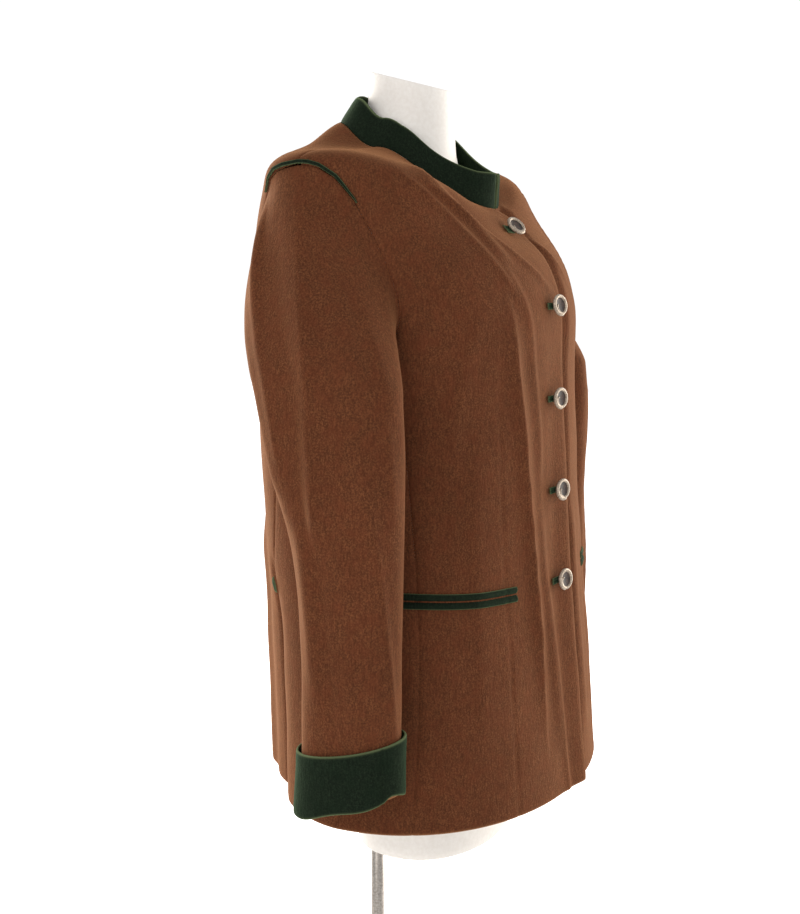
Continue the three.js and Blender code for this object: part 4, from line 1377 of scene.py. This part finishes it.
@dataclass
class Trims:
    """Green trims that lie on the body: edge, piping, welts, vent tabs, buttonholes.

    Attributes:
        edge_shows: How far the edge shows past the right front.
        piping_width: Widest width of the armhole piping.
        welt_height: Height of each pocket welt.
        welt_mouth: Gap between the two welts.
        welt_start_right: Angle of the right welts' front end.
        welt_start_left: Angle of the left welts' front end.
        hole_length: Length of a buttonhole.
        hole_height: Its height.
    """

    edge_shows: float = 1.5
    piping_width: float = 4.2
    welt_height: float = 6.6
    welt_mouth: float = 1.5
    welt_start_right: float = 33.8
    welt_start_left: float = 38.0
    hole_length: float = 19.5
    hole_height: float = 6.4

    def build(self) -> None:
        """Builds and dresses every trim."""
        self._edge()
        for side in Side:
            self._piping(side)
            self._welts(side)
            self._vent_tab(side)
        for i, level in enumerate(BUTTON_LEVELS):
            self._buttonhole(level, len(BUTTON_LEVELS) - i)

    def _edge(self) -> None:
        """Green edge of the facing, just past and under the right front's edge."""
        level = rows_between(0.03, 3.5, 0, 3.4)[None, :]
        inward = lerp(6, -self.edge_shows, spaced(7.5, 1.5, (0.0, 0.5, 1.1))[:, None])
        past = FRONT_EDGE.keyed("past", level) - inward
        angle = -WornBody.across_front(past, level)
        level = np.broadcast_to(level, angle.shape)
        points = WornBody.surface(angle, level, flare(angle, level) - CLOTH - 1.5)
        sew("edge_binding", points, WornBody.normal(angle, level), 1.0, PLAIN_ALL_ROUND, GREEN)

    def _piping(self, side: Side) -> None:
        """Rounded strip on the body side of the armhole seam, tapering to both ends.

        Args:
            side: Side of the wearer.
        """
        i = lerp(-1.7, 2.15, spaced(120, 2.4)[None, :])
        taper = np.sin(np.pi * np.clip(np.linspace(0, 1, i.shape[1]), 0.04, 0.96))[None, :]
        width = 1.4 + (self.piping_width - 1.4) * taper
        inset = lerp(0.3, width, np.linspace(0, 1, 9)[:, None])
        i = np.broadcast_to(i, inset.shape)
        angle, level = WornArm.place(i)
        normals = WornBody.normal(angle, level)
        points = WornBody.surface(angle, level, fine=False) - WornArm.away(i) * inset[..., None]
        points = points + normals * (LIE_GAP + TRIM + 0.2)
        if side is Side.LEFT:
            points, normals = points * np.array([-1, 1, 1]), normals * np.array([-1, 1, 1])
        sew(f"piping_{side.word}", points, normals, TRIM, PLAIN_ALL_ROUND, GREEN, 0.7)

    def _welts(self, side: Side) -> None:
        """Two rounded strips along a pocket's mouth.

        Args:
            side: Side of the wearer.
        """
        t = spaced(150, 2.6)[None, :] * 3
        start = self.welt_start_right if side is Side.RIGHT else self.welt_start_left
        line_angle = through(np.array([start, 52, 68, 84]), t)
        line_z = through(np.array([571.0, 573, 577, 580]), t)
        half = self.welt_mouth / 2
        far = half + self.welt_height
        mouth_first = (Edge.SEAM, Edge.PLAIN, Edge.PLAIN, Edge.PLAIN)
        mouth_last = (Edge.PLAIN, Edge.SEAM, Edge.PLAIN, Edge.PLAIN)
        for name, low, high, edges in (("upper", half, far, mouth_first), ("lower", -far, -half, mouth_last)):
            z = line_z + lerp(low, high, np.linspace(0, 1, 9)[:, None])
            fine = np.linspace(0, NECK, 400)
            level = np.interp(z, BODY.at("z_side", fine), fine)
            angle = side.value * np.broadcast_to(line_angle, level.shape)
            points = WornBody.surface(angle, level, LIE_GAP + TRIM - 0.5)
            normals = WornBody.normal(angle, level)
            sew(f"welt_{side.word}_{name}", points, normals, TRIM - 0.4, edges, GREEN, 0.9)

    def _vent_tab(self, side: Side) -> None:
        """Small arrowhead over the top of a vent.

        Args:
            side: Side of the wearer.
        """
        up = lerp(-4, 15, np.linspace(0, 1, 12))[:, None]
        half = np.interp(up, [-4, 6, 15], [6.5, 6.5, 0.8])
        angle = side_back(np.array(VENT_LEVEL)) + np.linspace(-1, 1, 9)[None, :] * np.degrees(half / 200)
        level = np.broadcast_to(VENT_LEVEL + up / 112, angle.shape)
        angle = side.value * angle
        points = WornBody.surface(angle, level, LIE_GAP + 1 + TRIM)
        normals = WornBody.normal(angle, level)
        sew(f"vent_tab_{side.word}", points, normals, TRIM, (Edge.TURNED,) * 4, GREEN)

    def _buttonhole(self, level: float, order: int) -> None:
        """Bound hole: two lips with a slit between them.

        Args:
            level: Body level.
            order: Its number, from the top.
        """
        rise = float(BODY.at("z_front", np.array(level + 0.1)) - BODY.at("z_front", np.array(level)))
        half = self.hole_height / 2 / rise * 0.1
        t = np.linspace(-1, 1, 15)[:, None]
        rows = level + half * t
        across = lerp(1, self.hole_length, spaced(23, 1.6, (0.0, 0.5, 1.1))[None, :])
        angle = WornBody.across_front(across, np.array(level))
        angle, rows = np.broadcast_arrays(angle, rows)
        lips = 0.7 * np.sqrt(np.abs(np.sin(np.pi * t)))
        points = WornBody.surface(angle, rows, LIE_GAP + 1 + TRIM - 0.6 + flare(angle, rows) + lips)
        normals = WornBody.normal(angle, rows)
        sew(f"buttonhole_{order}", points, normals, TRIM - 0.4, PLAIN_ALL_ROUND, GREEN)


@dataclass
class Buttons:
    """Shank buttons: a dished dark horn face in a silver rim that curls in as a comma.

    Attributes:
        radius: Of the rim.
        lift: Underside over the front's cloth.
        foot: Foot of the shank over the same cloth.
        spins: Turn of each comma in degrees, from the lowest.
        cant: How far the faces lean towards the wearer's right.
    """

    radius: float = 10.8
    lift: float = 5.4
    foot: float = 3.8
    spins: tuple[float, ...] = (-25, 10, -10, 5, 20)
    cant: float = 0.3

    def build(self) -> None:
        """Builds and dresses every button."""
        for i, (level, spin) in enumerate(zip(BUTTON_LEVELS, self.spins)):
            order = len(BUTTON_LEVELS) - i
            place = np.array([0.0]), np.array([float(level)])
            normal = WornBody.normal(*place)[0]
            foot = WornBody.surface(*place, lift=self.lift + flare(*place))[0]
            normal = unit(normal + np.array([-self.cant, 0.0, 0.0]))
            self._button(f"button_{order}", foot, normal, math.radians(spin))

    def _button(self, node: str, foot: Array, normal: Array, spin: float) -> None:
        """One button of two pieces.

        Args:
            node: Its node.
            foot: Middle of its underside.
            normal: Way that it faces.
            spin: Turn about that.
        """
        r = self.radius
        profile = [
            (0.01, self.foot - self.lift), (2.6, self.foot - self.lift), (2.6, -0.1),
            (r * 0.7, 0.0), (r * 0.9, 0.7), (r * 0.95, 2.2), (r * 0.9, 3.2), (r * 0.7, 2.9),
            (r * 0.4, 2.3), (r * 0.15, 2.05), (0.01, 2.0),
        ]
        right = unit(np.cross(np.array([0.0, 0.0, 1.0]), normal))
        axes = np.stack([right, np.cross(normal, right), normal])
        t = np.linspace(0, len(profile) - 1, 61)
        fine = np.stack([np.interp(t, np.arange(len(profile)), column) for column in np.array(profile).T], 1)
        dress(ring_solid(f"{node}_face", lathe(fine, 72) @ axes + foot), node, HORN)
        dress(ring_solid(f"{node}_rim", self._comma(spin) @ axes + foot), node, SILVER)

    def _comma(self, spin: float) -> Array:
        """Bead round the rim that curls in to the middle, thinning as it goes.

        Args:
            spin: Turn of its start.

        Returns:
            Rings of the bead, about the button's own axes.
        """
        s = np.linspace(0, 1, 150)[:, None]
        turn = spin + math.radians(-70) - s * math.radians(500)
        inward = np.clip((s - 0.7) / 0.3, 0, 1)
        path = self.radius * (0.86 - 0.66 * inward**1.3)
        ends = np.sqrt(np.clip((1 - s) / 0.03, 0.02, 1)) * np.sqrt(np.clip(s / 0.02, 0.02, 1))
        thick = lerp(2.3, 1.5, np.clip(s / 0.7, 0, 1)) * (1 - 0.2 * inward) * ends
        lift = 3.0 - 0.7 * inward
        round_ = np.linspace(0, 2 * np.pi, 16, endpoint=False)[None, :]
        reach = path + thick * np.cos(round_)
        return stack(reach * np.cos(turn), reach * np.sin(turn), lift + 0.9 * thick * np.sin(round_))


# ------------------------------------------------------------------ dress form and stand
@dataclass
class DressForm:
    """Smooth limbless form, closed at the neck and below the hips.

    Attributes:
        columns: Points round it.
        rows: Rings over its height.
    """

    columns: int = 128
    rows: int = 260

    def build(self) -> None:
        """Builds it: rings |cos/depth|^n + |sin/half|^n = 1, tilted, with a flat cap at each end."""
        turn = np.radians(np.linspace(0, 360, self.columns, endpoint=False))[None, :]
        ring = np.linspace(0, len(FORM.column("z")) - 1, self.rows)[:, None]
        cos, sin = np.cos(turn), np.sin(turn)
        power = FORM.at("power", ring)
        reach = np.abs(cos / FORM.at("depth", ring)) ** power + np.abs(sin / FORM.at("half", ring)) ** power
        reach = reach ** (-1 / power)
        z = FORM.at("z", ring) - FORM.at("tilt", ring) * reach * cos
        sides = stack(-reach * sin, FORM.at("mid", ring) - reach * cos, z)
        inward = np.array([0.985, 0.9, 0.6, 0.3, 0.05])[:, None, None]
        low, high = sides[0].mean(axis=0), sides[-1].mean(axis=0)
        bottom = low + (sides[0] - low) * inward[::-1]
        top = high + (sides[-1] - high) * inward
        obj = ring_solid("dress_form_shell", np.concatenate([bottom, sides, top]))
        dress(obj, "dress_form", FORM_SHELL)


@dataclass
class Stand:
    """Steel pole on a round base.

    Attributes:
        pole_radius: Radius of the pole.
        pole_place: Its x and y.
        top: Height of its top, under the form.
        base_radius: Radius of the base.
        base_height: Its height.
        base_y: Its middle.
    """

    pole_radius: float = 7.0
    pole_place: tuple[float, float] = (-20.0, 68.0)
    top: float = 280.7
    base_radius: float = 150.0
    base_height: float = 12.0
    base_y: float = 30.0

    def build(self) -> None:
        """Builds and dresses both as turned profiles."""
        foot, r = self.base_height + 0.3, self.pole_radius
        tube = [
            (0.01, foot), (r - 0.5, foot), (r, foot + 0.5), (r, foot + 60), (r, foot + 120),
            (r, self.top - 0.5), (r - 0.5, self.top), (0.01, self.top),
        ]
        pole = lathe(tube, 64) + np.array([*self.pole_place, 0.0])
        dress(ring_solid("pole_tube", pole), "pole", STEEL)
        b, h = self.base_radius, self.base_height
        disc = [
            (0.01, 0), (b - 1, 0), (b, 1), (b, h - 5), (b - 0.6, h - 3.2), (b - 2, h - 1.4),
            (b - 4, h - 0.4), (b - 6, h), (b - 60, h), (0.01, h),
        ]
        base = lathe(disc, 160) + np.array([0.0, self.base_y, 0.0])
        dress(ring_solid("base_disc", base), "base_plate", STEEL)


# ------------------------------------------------------------------ studio
@dataclass
class Studio:
    """Camera, lights, pale floor and pale surroundings. Sizes are metres.

    Attributes:
        azimuth: Camera's place round the object, degrees.
        distance: From the upright through the origin.
        height: Of the camera.
        yaw: Turn away from the origin, degrees.
        pitch: Turn down, degrees.
        lens: Focal length in millimetres.
        rise: How far the lens is shifted down, which keeps the upright lines nearly so.
        surround: Strength of the light from all round.
        aim: Height that the lights point at.
    """

    azimuth: float = -65.4
    distance: float = 1.611
    height: float = 0.89
    yaw: float = 1.61
    pitch: float = 5.0
    lens: float = 59.6
    rise: float = 0.06
    surround: float = 0.72
    aim: float = 0.75

    def camera(self) -> None:
        """Makes the camera and points it."""
        back, right = self._axes()
        yaw, pitch = math.radians(self.yaw), math.radians(self.pitch)
        level = -back * math.cos(yaw) - right * math.sin(yaw)
        ahead = level * math.cos(pitch) + Vector((0, 0, -math.sin(pitch)))
        data = bpy.data.cameras.new("view_from_the_right_front")
        data.lens = self.lens
        data.sensor_width = 36.0
        data.shift_y = -self.rise
        obj = bpy.data.objects.new("view_from_the_right_front", data)
        bpy.context.scene.collection.objects.link(obj)
        obj.location = back * self.distance + Vector((0, 0, self.height))
        obj.rotation_mode = "QUATERNION"
        obj.rotation_quaternion = ahead.to_track_quat("-Z", "Y")
        bpy.context.scene.camera = obj

    def _axes(self) -> tuple[Vector, Vector]:
        """Level directions towards the camera and to its right."""
        a = math.radians(self.azimuth)
        return Vector((math.sin(a), -math.cos(a), 0)), Vector((math.cos(a), math.sin(a), 0))

    def _light(
        self, name: str, place: tuple[float, float, float], size: float, power: float, colour: Colour
    ) -> None:
        """Soft square light aimed at the middle of the jacket.

        Args:
            name: Its name.
            place: Towards the camera, to its right, and up, in metres.
            size: Its side.
            power: In watts.
            colour: sRGB.
        """
        back, right = self._axes()
        data = bpy.data.lights.new(name, "AREA")
        data.size = size
        data.energy = power
        data.color = rgba(colour)[:3]
        obj = bpy.data.objects.new(name, data)
        bpy.context.scene.collection.objects.link(obj)
        obj.location = back * place[0] + right * place[1] + Vector((0, 0, place[2]))
        obj.rotation_mode = "QUATERNION"
        obj.rotation_quaternion = (Vector((0, 0, self.aim)) - obj.location).to_track_quat("-Z", "Y")

    def light(self) -> None:
        """Makes the lights, the surroundings and the floor."""
        self._light("rim_left", (-1.9, -1.8, 1.0), 1.8, 100, (255, 248, 238))
        self._light("rim_right", (-1.5, 2.2, 1.0), 2.0, 84, (255, 248, 238))
        self._light("fill_above", (2.2, -0.9, 1.3), 1.6, 18, (255, 250, 244))
        world = bpy.data.worlds.new("pale_surround")
        bpy.context.scene.world = world
        world.use_nodes = True
        n = Nodes(world.node_tree)
        back = world.node_tree.nodes["Background"]
        back.inputs["Color"].default_value = (1, 1, 1, 1)
        ray = n.add("ShaderNodeLightPath").outputs["Is Camera Ray"]
        n.tree.links.new(n.spread(ray, 0, 1, (self.surround, 1.05)), back.inputs["Strength"])
        corners = np.array([[-9.0, -9, 0], [9, -9, 0], [9, 9, 0], [-9, 9, 0]])
        mesh = bpy.data.meshes.new("floor")
        mesh.from_pydata(corners.tolist(), [], [(0, 1, 2, 3)])
        floor = bpy.data.objects.new("floor", mesh)
        bpy.context.scene.collection.objects.link(floor)
        material, nodes, shader = new_material("pale_floor")
        shader.inputs["Base Color"].default_value = (0.9, 0.9, 0.9, 1)
        shader.inputs["Roughness"].default_value = 0.9
        shader.inputs["Emission Color"].default_value = (1, 1, 1, 1)
        seen = nodes.add("ShaderNodeLightPath").outputs["Is Camera Ray"]
        nodes.tree.links.new(nodes.spread(seen, 0, 1, (0.05, 0.8)), shader.inputs["Emission Strength"])
        mesh.materials.append(material)
        bpy.context.scene.view_settings.view_transform = "Standard"


def main() -> None:
    """Builds the camera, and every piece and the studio."""
    logging.basicConfig(level=logging.INFO, format="%(name)s: %(message)s")
    studio = Studio()
    studio.camera()
    for kind in (Fronts, SidesAndBacks, Sleeves, Cuffs, Collar, Trims, Buttons, DressForm, Stand):
        log.info("%s", kind.__name__)
        kind().build()
    studio.light()


if __name__ == "__main__":
    main()
